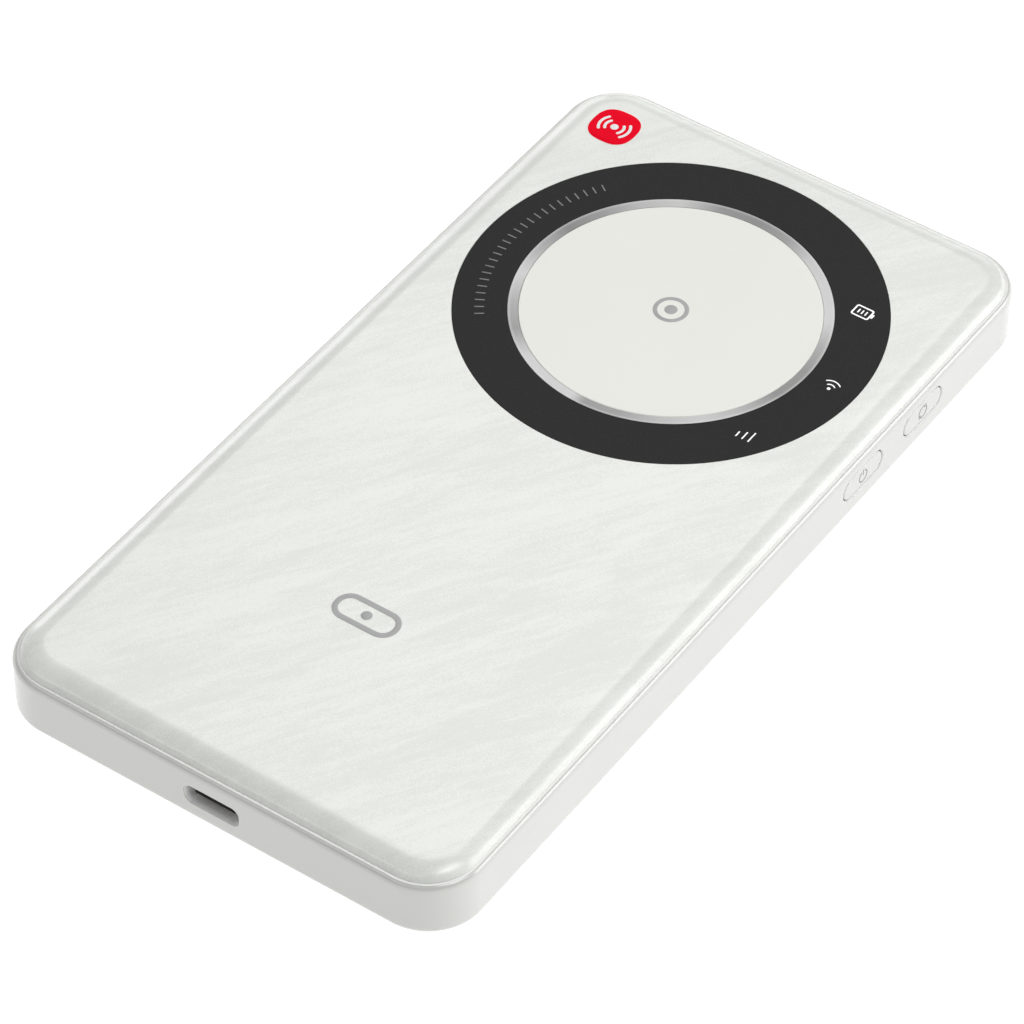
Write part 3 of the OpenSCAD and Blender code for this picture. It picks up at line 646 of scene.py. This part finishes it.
def build_button(node, symbol_node, outlines):
    """Cap with its flange and post, and its sign on the face, whose dark grey is painted shade in place of
    the shade in engraved strokes.
    """
    y, z = button_centre(node)
    u, v = BUTTON_HALF - BUTTON_FIT, BUTTON_TALL - BUTTON_FIT
    flange_u, flange_v = BUTTON_HALF + FLANGE_LIP, BUTTON_TALL + FLANGE_LIP
    face_x = HALF_W - PRINT / 2
    rings = [side_ring(x, y, z, POST_R, POST_R, POST_R) for x in (POST_X, FLANGE_X)]
    rings += [side_ring(x, y, z, flange_u, flange_v, flange_v) for x in (FLANGE_X, FLANGE_OUT_X)]
    rings.append(side_ring(FLANGE_OUT_X, y, z, u, v, v))
    rings += [side_ring(face_x - depth, y, z, u - inset, v - inset, v - inset)
              for depth, inset in round_edge(BUTTON_EDGE, range(0, 91, 15))]
    cap = place(skin(node + "_cap", rings), node, node)
    # the sign's dark grey is painted shade for the engraved strokes of the symbol
    symbol = sign(node + "_sign", outlines, (0, 0), 0, PRINT, symbol_node, node, bevel=0.004)
    # The sign is made flat and then stood up on the cap's face
    for vertex in symbol.data.vertices:
        across, up, out = vertex.co
        vertex.co = Vector((HALF_W * MM - PRINT * MM + out, y * MM + across, z * MM + up))
    return cap, symbol


def power_outlines():
    """Ring with a gap at the top and an upright bar in it."""
    return [arc_stroke(0, 0, SYMBOL_R, SYMBOL_STROKE, 118, 422), pill(0, 0.7, SYMBOL_STROKE, 1.0, 0.1)]


def sync_outlines():
    """Two curved arrows that follow each other round a circle."""
    outlines = []
    for turn in (0, 180):
        outlines.append(arc_stroke(0, 0, SYMBOL_R, SYMBOL_STROKE, turn + 60, turn + 200))
        outlines.append(turned([(0.6, 0.16), (1.34, 0.16), (SYMBOL_R, -0.4)], turn + 45))
    return outlines


# ---- USB-C receptacle ----

SHELL_HALF_U = 4.47
SHELL_HALF_V = 1.63
SHELL_R = 1.25
SHELL_T = 0.3
MOUTH_Y = -HALF_L + 0.09  # edge of the steel mouth, just behind the wall's face
# Depth behind that edge and inset from the opening in the housing
MOUTH_ROWS = ((0.03, 0.02), (0, 0.03), (0, 0.06), (0.03, 0.09), (0.9, 0.38))
LEG_ROWS = (-69, -66.4)
LEG_LONG = 1.2
LEG_IN = 0.37         # a leg's reach inside and outside the shell's side
LEG_OUT = 1.3
LEG_LOW = 3.4
LEG_HIGH = 3.65
BLOCK_BACK = 7        # moulded block, from the front of the shell
BLOCK_FRONT = 5.4
BLOCK_FIT = 0.01
BLOCK_R = 0.94
TONGUE_HALF_U = 3.345
TONGUE_HALF_V = 0.35
TONGUE_R = 0.16
TONGUE_EDGE = 0.15


def build_usb_shell():
    """Drawn steel tube with a mouth that widens to the housing, a closed back and four legs."""
    back = SHELL_HIGH.y
    rings = [end_ring(y, USB_Z, SHELL_HALF_U, SHELL_HALF_V, SHELL_R) for y in (back, -HALF_L + WALL)]
    rings += [end_ring(MOUTH_Y + depth, USB_Z, USB_W / 2 - inset, USB_H / 2 - inset, USB_R - inset)
              for depth, inset in MOUTH_ROWS]
    inside = [size - SHELL_T for size in (SHELL_HALF_U, SHELL_HALF_V, SHELL_R)]
    rings.append(end_ring(back - SHELL_T, USB_Z, *inside))
    shell = skin("port_shell", rings)
    legs = []
    for side in (-1, 1):
        near, far = sorted((side * (SHELL_HALF_U - LEG_IN), side * (SHELL_HALF_U + LEG_OUT)))
        legs += [block("foot", (near, y, LEG_LOW), (far, y + LEG_LONG, LEG_HIGH)) for y in LEG_ROWS]
    combine(shell, join("feet", legs), "UNION")
    return place(shell, "usb_shell", "root")


def build_usb_tongue():
    """Moulded block that fills the back of the shell, with the contact tongue."""
    step = SHELL_LOW.y + BLOCK_FRONT
    front = box_mm("usb_tongue")[0].y
    inside = SHELL_T + BLOCK_FIT
    rings = [end_ring(y, USB_Z, SHELL_HALF_U - inside, SHELL_HALF_V - inside, BLOCK_R)
             for y in (SHELL_LOW.y + BLOCK_BACK, step)]
    rings.append(end_ring(step, USB_Z, TONGUE_HALF_U, TONGUE_HALF_V, TONGUE_R))
    rings += [end_ring(front + depth, USB_Z, TONGUE_HALF_U - inset, TONGUE_HALF_V - inset, TONGUE_R - inset)
              for depth, inset in round_edge(TONGUE_EDGE, (0, 22.5, 45, 67.5, 90))]
    return place(skin("port_tongue", rings), "usb_tongue", "root")


# ---- SIM tray ----

PLATE_T = 1.0         # face plate
PLATE_EDGE = 0.2
CARRIER_HALF = 5.6    # half sizes, end and eased edge of the frame behind the plate
CARRIER_TALL = 0.45
CARRIER_END = -20.0
CARRIER_EDGE = 0.1
# Pocket for the card and the opening under it: ends along X, half width, lower and upper heights
CARD_POCKET = (-34.5, -22.1, 4.45, 3.9, 6)
CARD_OPENING = (-34.0, -22.6, 3.95, 2.7, 5)
GROOVE_LIFT = 0.6     # nail groove above the middle of the plate
# Depth behind the plate's face, half length and half height of the groove
GROOVE_ROWS = ((-CUT_OUT, 3.25, 0.42), (0.02, 3.2, 0.36), (0.12, 3.1, 0.26), (0.4, 3.0, 0.16))
CARD_EDGE = 0.05
CARD_CORNER = 1.65


def build_tray():
    """Face plate with a nail groove, and the frame that carries the card."""
    plate_in = -HALF_W + PLATE_T
    rings = []
    for depth, inset in round_edge(PLATE_EDGE, range(90, -1, -15)):
        tall = TRAY_TALL - inset
        rings.append(side_ring(-HALF_W + depth, TRAY_Y, TRAY_Z, TRAY_HALF - inset, tall, tall))
    rings.append(side_ring(plate_in, TRAY_Y, TRAY_Z, TRAY_HALF, TRAY_TALL, TRAY_TALL))
    rings += [side_ring(x, TRAY_Y, TRAY_Z, CARRIER_HALF, CARRIER_TALL, CARRIER_EDGE)
              for x in (plate_in, CARRIER_END - CARRIER_EDGE)]
    end_half, end_tall = CARRIER_HALF - CARRIER_EDGE, CARRIER_TALL - CARRIER_EDGE
    rings.append(side_ring(CARRIER_END, TRAY_Y, TRAY_Z, end_half, end_tall, CARRIER_EDGE / 2))
    tray = skin("card_tray", rings)
    for x0, x1, half, z0, z1 in (CARD_POCKET, CARD_OPENING):
        combine(tray, block("opening", (x0, TRAY_Y - half, z0), (x1, TRAY_Y + half, z1)), "DIFFERENCE")
    groove = [side_ring(-HALF_W + depth, TRAY_Y, TRAY_Z + GROOVE_LIFT, half, tall, tall)
              for depth, half, tall in GROOVE_ROWS]
    combine(tray, skin("groove", groove), "DIFFERENCE")
    return place(tray, "sim_tray", "sim_tray")


def build_card():
    """Card with one cut corner and eased edges."""
    low, high = box_mm("sim_card")
    rings = []
    levels = ((low.z, CARD_EDGE), (low.z + CARD_EDGE, 0), (high.z - CARD_EDGE, 0), (high.z, CARD_EDGE))
    for z, inset in levels:
        x0, x1, y0, y1 = low.x + inset, high.x - inset, low.y + inset, high.y - inset
        outline = [(x0, y0), (x1, y0), (x1, y1 - CARD_CORNER), (x1 - CARD_CORNER, y1), (x0, y1)]
        rings.append([(x, y, z) for x, y in outline])
    return place(skin("nano_card", rings), "sim_card", "sim_tray", sharp=20)


# ---- Materials ----

class Shader:
    """A node material with a Principled shader and short ways to add and link nodes."""

    def __init__(self, name, color, rough, metallic=0.0):
        self.mat = bpy.data.materials.new(name)
        self.mat.use_nodes = True
        self.tree = self.mat.node_tree
        self.bsdf = self.tree.nodes["Principled BSDF"]
        self.set("Base Color", (*color, 1))
        self.set("Roughness", rough)
        self.set("Metallic", metallic)
        self.coords = self.add("ShaderNodeTexCoord").outputs["Object"]

    def set(self, socket, value):
        self.bsdf.inputs[socket].default_value = value

    def add(self, kind, **props):
        node = self.tree.nodes.new(kind)
        for key, value in props.items():
            setattr(node, key, value)
        return node

    def link(self, out, into):
        self.tree.links.new(out, into)

    def feed(self, socket, out):
        """Links an output to a socket of the Principled shader."""
        self.link(out, self.bsdf.inputs[socket])

    def mapped(self, turn=0.0, scale=(1, 1, 1)):
        """Object coordinates in axes turned about Z by an angle in degrees, stretched by the scale."""
        spin = self.add("ShaderNodeMapping", vector_type="TEXTURE")
        spin.inputs["Rotation"].default_value = (0, 0, math.radians(turn))
        spin.inputs["Scale"].default_value = scale
        self.link(self.coords, spin.inputs["Vector"])
        return spin.outputs["Vector"]

    def noise(self, size_mm, detail=3.0, rough=0.5, vector=None, distortion=0.0):
        """Noise whose grains are about size_mm across."""
        node = self.add("ShaderNodeTexNoise")
        node.inputs["Scale"].default_value = 1 / (size_mm * MM)
        node.inputs["Detail"].default_value = detail
        node.inputs["Roughness"].default_value = rough
        node.inputs["Distortion"].default_value = distortion
        self.link(vector or self.coords, node.inputs["Vector"])
        return node.outputs["Fac"]

    def ramp(self, value, stops):
        """Maps a value through greys or colours at given positions."""
        node = self.add("ShaderNodeValToRGB")
        elements = node.color_ramp.elements
        while len(elements) < len(stops):
            elements.new(0.5)
        for element, (at, color) in zip(elements, stops):
            element.position = at
            element.color = (*color, 1) if isinstance(color, tuple) else (color, color, color, 1)
        self.link(value, node.inputs["Fac"])
        return node.outputs["Color"]

    def math(self, operation, a, b):
        node = self.add("ShaderNodeMath", operation=operation)
        for socket, value in zip(node.inputs, (a, b)):
            if isinstance(value, (int, float)):
                socket.default_value = value
            else:
                self.link(value, socket)
        return node.outputs["Value"]

    def mix(self, factor, a, b, blend="MIX"):
        node = self.add("ShaderNodeMix", data_type="RGBA", blend_type=blend)
        for name, value in (("Factor", factor), ("A", a), ("B", b)):
            if isinstance(value, float):
                node.inputs[name].default_value = value
            elif isinstance(value, tuple):
                node.inputs[name].default_value = (*value, 1)
            else:
                self.link(value, node.inputs[name])
        return node.outputs["Result"]

    def spread(self, noise, low, high):
        """Ramp between two values over the usual reach of a noise."""
        return self.ramp(noise, [(0.3, low), (0.7, high)])

    def bump(self, height, depth_mm):
        node = self.add("ShaderNodeBump")
        node.inputs["Strength"].default_value = 1.0
        node.inputs["Distance"].default_value = depth_mm * MM
        self.link(height, node.inputs["Height"])
        self.feed("Normal", node.outputs["Normal"])


TONE_MM = 18          # size of the slow drift of tone in moulded plastic
GLOSS_VARY = 0.02
METAL_VARY = 0.12


def shade(color, vary):
    """The colour, darker by a share."""
    return tuple(c * (1 - vary) for c in color)


def fine_plastic(name, color, rough, grain_mm=0.18, depth_mm=0.004, vary=0.03, level=0.5, gloss=0.0):
    """Moulded plastic: fine spark-eroded grain, slight drift of tone and gloss."""
    s = Shader(name, color, rough)
    s.set("Specular IOR Level", level)
    s.set("Coat Weight", gloss)
    s.set("Coat Roughness", 0.12)
    s.feed("Base Color", s.spread(s.noise(TONE_MM, 2), shade(color, vary), color))
    grain = s.noise(grain_mm, 2, 0.6)
    s.feed("Roughness", s.spread(grain, rough - GLOSS_VARY, rough + GLOSS_VARY))
    s.bump(grain, depth_mm)
    return s.mat


def metal(name, color, rough, stretch=(1, 1, 1), grain_mm=0.25, depth_mm=0.002, metallic=1.0):
    """Sheet metal with rolled or turned grain along the stretched axis."""
    s = Shader(name, color, rough, metallic)
    grain = s.noise(grain_mm, 3, 0.6, s.mapped(0, stretch))
    s.feed("Base Color", s.spread(grain, shade(color, METAL_VARY), color))
    s.feed("Roughness", s.spread(grain, rough, rough + 0.1))
    s.bump(grain, depth_mm)
    return s.mat


PEARL_TURN = 57       # degrees from the X axis to the streaks
PEARL_LOW = (0.795, 0.81, 0.77)
PEARL_HIGH = (0.87, 0.885, 0.84)


def pearl_material():
    """White pearl lacquer over silk streaks that run up to the right across the cover."""
    s = Shader("pearl_silk", PEARL_HIGH, 0.34)
    broad = s.noise(7, 5, 0.62, s.mapped(PEARL_TURN, (5, 1, 1)), 0.7)
    fine = s.noise(1.2, 5, 0.72, s.mapped(PEARL_TURN, (7, 1, 1)), 0.4)
    speck = s.noise(0.2, 2, 0.75)
    weave = s.math("ADD", s.math("MULTIPLY", broad, 0.55), s.math("MULTIPLY", fine, 0.45))
    flecked = s.math("ADD", weave, s.math("MULTIPLY", s.math("SUBTRACT", speck, 0.5), 0.75))
    s.feed("Base Color", s.ramp(flecked, [(0.45, PEARL_LOW), (0.55, PEARL_HIGH)]))
    s.feed("Roughness", s.ramp(flecked, [(0.46, 0.42), (0.54, 0.3)]))
    s.set("Coat Weight", 1.0)
    s.set("Coat Roughness", 0.2)
    s.set("Specular IOR Level", 0.2)
    s.bump(speck, 0.003)
    return s.mat


def lens_material():
    """Black lens with a fine satin grain."""
    s = Shader("lens_black", (0.03, 0.03, 0.03), 0.42)
    s.set("Specular IOR Level", 0.05)
    grain = s.noise(0.2, 2, 0.6)
    s.feed("Base Color", s.spread(grain, (0.026, 0.026, 0.026), (0.034, 0.034, 0.034)))
    s.feed("Roughness", s.spread(grain, 0.38, 0.46))
    s.bump(grain, 0.002)
    return s.mat


# Painted highlights of the metal ring: lightness at angles in degrees round it, standing in for the light
# and dark sectors that turned metal reflects
TRIM_PAINTED_HIGHLIGHTS = [
    (0, 0.37), (15, 0.5), (28, 0.74), (48, 0.72), (62, 0.64), (75, 0.39), (90, 0.3), (105, 0.33),
    (120, 0.6), (135, 0.5), (150, 0.34), (165, 0.27), (180, 0.45), (195, 0.67), (210, 0.48),
    (225, 0.38), (240, 0.7), (266, 0.72), (271, 0.39), (285, 0.43), (300, 0.6), (315, 0.69),
    (330, 0.56), (345, 0.35), (360, 0.37),
]
TRIM_EDGE = 0.45      # width of the painted highlight along the ring's outer edge
TRIM_EDGE_PAINTED_HIGHLIGHT = 0.3  # how far the painted highlight's colour goes towards bright metal
TRIM_HIGHLIGHT_TINT = (0.8, 0.8, 0.78)
TRIM_MARK = 0.05      # about the width of a tool mark


def trim_material():
    """Turned metal: painted highlights in light and dark sectors, fine rings of tool marks and a painted
    highlight along the outer edge.
    """
    s = Shader("turned_metal", (0.8, 0.8, 0.8), 0.45, 0.25)
    s.set("Specular IOR Level", 0.1)
    centred = s.add("ShaderNodeVectorMath", operation="SUBTRACT")
    s.link(s.coords, centred.inputs[0])
    centred.inputs[1].default_value = (RING.x * MM, RING.y * MM, FACE_Z * MM)
    split = s.add("ShaderNodeSeparateXYZ")
    s.link(centred.outputs["Vector"], split.inputs["Vector"])
    angle = s.math("ARCTAN2", split.outputs["Y"], split.outputs["X"])
    turn = s.math("FRACT", s.math("ADD", s.math("DIVIDE", angle, 2 * math.pi), 1.0), 0.0)
    # painted highlights: lightness set by the angle round the ring, in place of real reflections
    painted_lobes = s.ramp(turn, [(at / 360, level) for at, level in TRIM_PAINTED_HIGHLIGHTS])
    radius = s.add("ShaderNodeVectorMath", operation="LENGTH")
    s.link(centred.outputs["Vector"], radius.inputs[0])
    rings = s.add("ShaderNodeTexNoise", noise_dimensions="1D")
    rings.inputs["Scale"].default_value = 1.0
    s.link(s.math("MULTIPLY", radius.outputs["Value"], 1 / (TRIM_MARK * MM)), rings.inputs["W"])
    tool_marks_on_highlights = s.mix(1.0, painted_lobes, s.spread(rings.outputs["Fac"], 0.9, 1.0), "MULTIPLY")
    reach = s.math("DIVIDE", radius.outputs["Value"], TRIM_R * MM)
    edge = TRIM_EDGE / TRIM_R
    # painted highlight: the base colour grows lighter towards the ring's outer edge
    painted_edge_band = s.ramp(reach, [(1 - edge, 0.0), (1 - edge / 2, TRIM_EDGE_PAINTED_HIGHLIGHT)])
    s.feed("Base Color", s.mix(painted_edge_band, tool_marks_on_highlights, TRIM_HIGHLIGHT_TINT))
    s.feed("Roughness", s.spread(rings.outputs["Fac"], 0.4, 0.5))
    s.bump(rings.outputs["Fac"], 0.002)
    return s.mat


def icon_material():
    """Lit white window: diffusing resin with a little light of its own."""
    s = Shader("lit_window", (0.9, 0.9, 0.9), 0.4)
    s.feed("Base Color", s.spread(s.noise(0.6, 2), 0.86, 0.94))
    s.set("Emission Color", (1, 1, 1, 1))
    s.set("Emission Strength", 0.35)
    return s.mat


def board_material():
    """Solder mask with faint tracks under it."""
    s = Shader("board_green", (0.02, 0.14, 0.06), 0.35)
    tracks = s.add("ShaderNodeTexBrick", offset=0.5)
    tracks.inputs["Scale"].default_value = 1 / (4 * MM)
    tracks.inputs["Mortar Size"].default_value = 0.03
    tracks.inputs["Color1"].default_value = (0.015, 0.12, 0.05, 1)
    tracks.inputs["Color2"].default_value = (0.02, 0.15, 0.065, 1)
    tracks.inputs["Mortar"].default_value = (0.06, 0.26, 0.1, 1)
    s.link(s.mapped(45), tracks.inputs["Vector"])
    s.feed("Base Color", tracks.outputs["Color"])
    s.bump(tracks.outputs["Fac"], 0.01)
    return s.mat


def card_material():
    """Card body with gilded contact pads on its lower face."""
    s = Shader("card_pads", (0.85, 0.85, 0.83), 0.35)
    normal = s.add("ShaderNodeSeparateXYZ")
    s.link(s.add("ShaderNodeTexCoord").outputs["Normal"], normal.inputs["Vector"])
    below = s.math("LESS_THAN", normal.outputs["Z"], -0.5)
    pads = s.add("ShaderNodeTexBrick", offset=0.0)
    pads.inputs["Scale"].default_value = 1 / (3 * MM)
    pads.inputs["Mortar Size"].default_value = 0.05
    pads.inputs["Color1"].default_value = (0.8, 0.58, 0.22, 1)
    pads.inputs["Color2"].default_value = (0.76, 0.55, 0.2, 1)
    pads.inputs["Mortar"].default_value = (0.35, 0.25, 0.1, 1)
    s.link(s.coords, pads.inputs["Vector"])
    grain = s.spread(s.noise(0.3, 2), 0.8, 0.87)
    s.feed("Base Color", s.mix(below, grain, pads.outputs["Color"]))
    s.feed("Metallic", below)
    return s.mat


def coat_with(obj, material):
    obj.data.materials.clear()
    obj.data.materials.append(material)


# ---- Build ----

WHITE = (0.675, 0.68, 0.65)
shell_plastic = fine_plastic("shell_plastic", WHITE, 0.18, level=1.0, gloss=0.6)
button_plastic = fine_plastic("button_plastic", WHITE, 0.18, level=1.0, gloss=0.6)
grey_ink = fine_plastic("grey_ink", (0.43, 0.43, 0.43), 0.4, 0.1, 0.001)
dim_ink = fine_plastic("dim_ink", (0.2, 0.2, 0.2), 0.45, 0.1, 0.001)
# Dark grey of the button signs: painted shade standing in for the shade inside engraved strokes
engraving_shade_ink = fine_plastic("engraving_shade_ink", (0.3, 0.3, 0.3), 0.4, 0.1, 0.001)
badge_red = fine_plastic("badge_red", (0.95, 0.002, 0.022), 0.4, 0.2, 0.001, level=0.02)
badge_white = fine_plastic("badge_white", (0.9, 0.9, 0.9), 0.4, 0.2, 0.001)
SIGN_INKS = {
    "badge_tile": badge_red,
    "badge_mark": badge_white,
    "disc_mark": grey_ink,
    "cover_mark": grey_ink,
    "ring_ticks": dim_ink,
}

coat_with(build_housing(), shell_plastic)
coat_with(build_cover(), pearl_material())
coat_with(build_lens(), lens_material())
coat_with(build_trim(), trim_material())
coat_with(build_disc(), fine_plastic("disc_plastic", (0.9, 0.905, 0.85), 0.33, 0.3, 0.004, 0.015))
for node, piece in build_signs().items():
    coat_with(piece, SIGN_INKS[node])
window = icon_material()
for icon in build_icons():
    coat_with(icon, window)
for node, symbol, outlines in (("power_button", "power_symbol", power_outlines()),
                               ("sync_button", "sync_symbol", sync_outlines())):
    cap, shaded_sign = build_button(node, symbol, outlines)
    coat_with(cap, button_plastic)
    coat_with(shaded_sign, engraving_shade_ink)
coat_with(build_usb_shell(), metal("port_steel", (0.9, 0.9, 0.9), 0.45, (1, 10, 1), metallic=0.15))
coat_with(build_usb_tongue(), fine_plastic("port_black", (0.008, 0.008, 0.008), 0.4, 0.1, 0.002, level=0.05))
coat_with(build_tray(), shell_plastic)
coat_with(build_card(), card_material())


# ---- Materials of the CAD nodes that stay ----

STEEL = metal("can_steel", (0.62, 0.62, 0.62), 0.32, (12, 1, 1))
CHIP = fine_plastic("chip_black", (0.03, 0.03, 0.034), 0.5, 0.12, 0.002, 0.1)
FLEX = fine_plastic("flex_amber", (0.42, 0.17, 0.03), 0.3, 2.0, 0.004, 0.25)
GOLD = metal("contact_gold", (0.86, 0.62, 0.24), 0.25)
BOARD = board_material()
ANTENNA = metal("antenna_gold", (0.78, 0.55, 0.3), 0.35, (1, 1, 1), 0.8)
INNER = {
    "cover_gasket": fine_plastic("foam_black", (0.03, 0.03, 0.03), 0.85, 0.4, 0.02, 0.2),
    "mid_frame": metal("frame_alloy", (0.55, 0.55, 0.57), 0.42, (1, 1, 1), 0.5, 0.004),
    "light_guide": fine_plastic("guide_clear", (0.78, 0.86, 0.88), 0.15, 3.0, 0.002),
    "indicator_leds": fine_plastic("led_yellow", (0.75, 0.62, 0.2), 0.25, 0.4, 0.002, 0.1),
    "indicator_flex": FLEX,
    "nfc_coil": metal("coil_copper", (0.75, 0.38, 0.24), 0.35),
    "nfc_ferrite": fine_plastic("ferrite_grey", (0.07, 0.07, 0.075), 0.6, 0.5, 0.004, 0.2),
    "main_board": BOARD,
    "usb_board": BOARD,
    "board_parts": fine_plastic("part_dark", (0.1, 0.1, 0.11), 0.45, 0.3, 0.004, 0.2),
    "modem_shield": STEEL,
    "radio_shield": STEEL,
    "sim_socket": STEEL,
    "switch_bracket": STEEL,
    "modem_chip": CHIP,
    "memory_chip": CHIP,
    "radio_chip": CHIP,
    "power_chip": CHIP,
    "thermal_pads": fine_plastic("pad_lilac", (0.42, 0.36, 0.58), 0.7, 0.6, 0.02, 0.1),
    "heat_spreader": metal("graphite", (0.12, 0.12, 0.13), 0.45, (1, 1, 1), 1.0, 0.006),
    "usb_contacts": GOLD,
    "coax_plugs": GOLD,
    "link_flex": FLEX,
    "switch_flex": FLEX,
    "battery_cell": metal("cell_foil", (0.62, 0.64, 0.66), 0.45, (1, 1, 1), 1.5, 0.02),
    "battery_board": fine_plastic("tape_yellow", (0.7, 0.48, 0.08), 0.4, 1.5, 0.01, 0.15),
    "battery_lead": fine_plastic("lead_red", (0.42, 0.03, 0.03), 0.4, 0.6, 0.006, 0.1),
    "battery_tape": fine_plastic("tape_green", (0.3, 0.52, 0.3), 0.6, 1.0, 0.01, 0.1),
    "power_switch": CHIP,
    "sync_switch": CHIP,
    "power_plunger": fine_plastic("plunger_tan", (0.5, 0.4, 0.26), 0.45),
    "sync_plunger": fine_plastic("plunger_tan_2", (0.5, 0.4, 0.26), 0.45),
    "antenna_upper_left": ANTENNA,
    "antenna_upper_right": ANTENNA,
    "antenna_lower_left": ANTENNA,
    "antenna_lower_right": ANTENNA,
    "coax_leads": fine_plastic("coax_black", (0.02, 0.02, 0.02), 0.4, 0.5, 0.004),
    "frame_screws": metal("screw_steel", (0.6, 0.6, 0.6), 0.28),
    "board_screws": metal("screw_steel_2", (0.6, 0.6, 0.6), 0.28),
}
for node, material in INNER.items():
    coat_with(NODES[node], material)


# ---- Stage, light and camera ----

STAGE_R = 4000        # millimetres
STAGE_Z = -0.02       # just under the part
STAGE_LIGHT = 0.84
STAGE_REACH = 2.0     # metres over which the floor's glow is set
WORLD_LIGHT = 0.137


def build_floor():
    """Pale round floor with a glow that fades with the distance from the part."""
    points = circle(STAGE_R, steps=96)
    floor = make_object("studio_floor", [(x, y, STAGE_Z) for x, y in points], [tuple(range(len(points)))])
    s = Shader("pale_floor", (0.2, 0.2, 0.2), 0.9)
    s.feed("Base Color", s.spread(s.noise(400, 2), 0.19, 0.21))
    reach = s.add("ShaderNodeVectorMath", operation="LENGTH")
    s.link(s.coords, reach.inputs[0])
    away = s.math("DIVIDE", reach.outputs["Value"], STAGE_REACH)
    s.feed("Emission Color", s.ramp(away, [(0.15, 1.1), (0.6, 0.3)]))
    s.set("Emission Strength", STAGE_LIGHT)
    coat_with(floor, s.mat)


def soft_light(name, at, size, power):
    """Soft box at a place in metres, turned to the part."""
    data = bpy.data.lights.new(name, "AREA")
    data.shape = "RECTANGLE"
    data.size, data.size_y = size
    data.energy = power
    lamp = bpy.data.objects.new(name, data)
    lamp.location = at
    lamp.rotation_euler = (Vector((0, 0, 0)) - Vector(at)).to_track_quat("-Z", "Y").to_euler()
    bpy.context.scene.collection.objects.link(lamp)


LIGHT_REACH = 1.6     # metres from the origin to each soft box
SOFT_BOXES = [
    # name, azimuth and elevation in degrees, width and height in metres, power in watts
    ("key_box", 115, 55.7, 0.86, 0.9, 6.8),
    ("high_right_box", 0, 62, 0.8, 0.7, 8.6),
    ("right_strip", 40, 11.5, 1.16, 0.6, 7.6),
    ("left_strip", 141, 12, 0.75, 0.5, 2.6),
    ("low_left_box", 165, 12, 1.16, 0.45, 1.5),
    ("back_strip", 113, 14, 0.7, 0.36, 0.95),
    ("left_front_box", 240, 35, 1.0, 0.56, 2.4),
    ("front_box", 280, 35, 1.0, 0.56, 1.3),
    ("right_box", 0, 35, 1.0, 0.56, 1.6),
    ("back_right_box", 40, 35, 1.0, 0.56, 1.5),
]


def build_lights():
    for name, azimuth, elevation, width, height, power in SOFT_BOXES:
        a, e = math.radians(azimuth), math.radians(elevation)
        at = [LIGHT_REACH * c for c in (math.cos(a) * math.cos(e), math.sin(a) * math.cos(e), math.sin(e))]
        soft_light(name, at, (width, height), power)
    world = bpy.data.worlds.new("studio")
    world.use_nodes = True
    background = world.node_tree.nodes["Background"]
    background.inputs["Color"].default_value = (1, 1, 1, 1)
    background.inputs["Strength"].default_value = WORLD_LIGHT
    bpy.context.scene.world = world


CAMERA_AZIMUTH = 35.083     # degrees from the port's end towards the buttons
CAMERA_ELEVATION = 45.481
CAMERA_DISTANCE = 0.75096   # metres
CAMERA_LENS = 189.45        # millimetres, for the sensor's width below
CAMERA_SENSOR = 36
CAMERA_AIM = (-0.001383, -0.002135, 0.0)


def build_camera():
    azimuth, elevation = math.radians(CAMERA_AZIMUTH), math.radians(CAMERA_ELEVATION)
    back = Vector((math.sin(azimuth) * math.cos(elevation),
                   -math.cos(azimuth) * math.cos(elevation), math.sin(elevation)))
    data = bpy.data.cameras.new("camera")
    data.lens = CAMERA_LENS
    data.sensor_width = CAMERA_SENSOR
    data.clip_start = 0.01
    camera = bpy.data.objects.new("camera", data)
    camera.location = Vector(CAMERA_AIM) + back * CAMERA_DISTANCE
    camera.rotation_euler = (-back).to_track_quat("-Z", "Y").to_euler()
    bpy.context.scene.collection.objects.link(camera)
    bpy.context.scene.camera = camera


build_floor()
build_lights()
build_camera()
bpy.context.scene.view_settings.view_transform = "Standard"

bpy.context.view_layer.update()
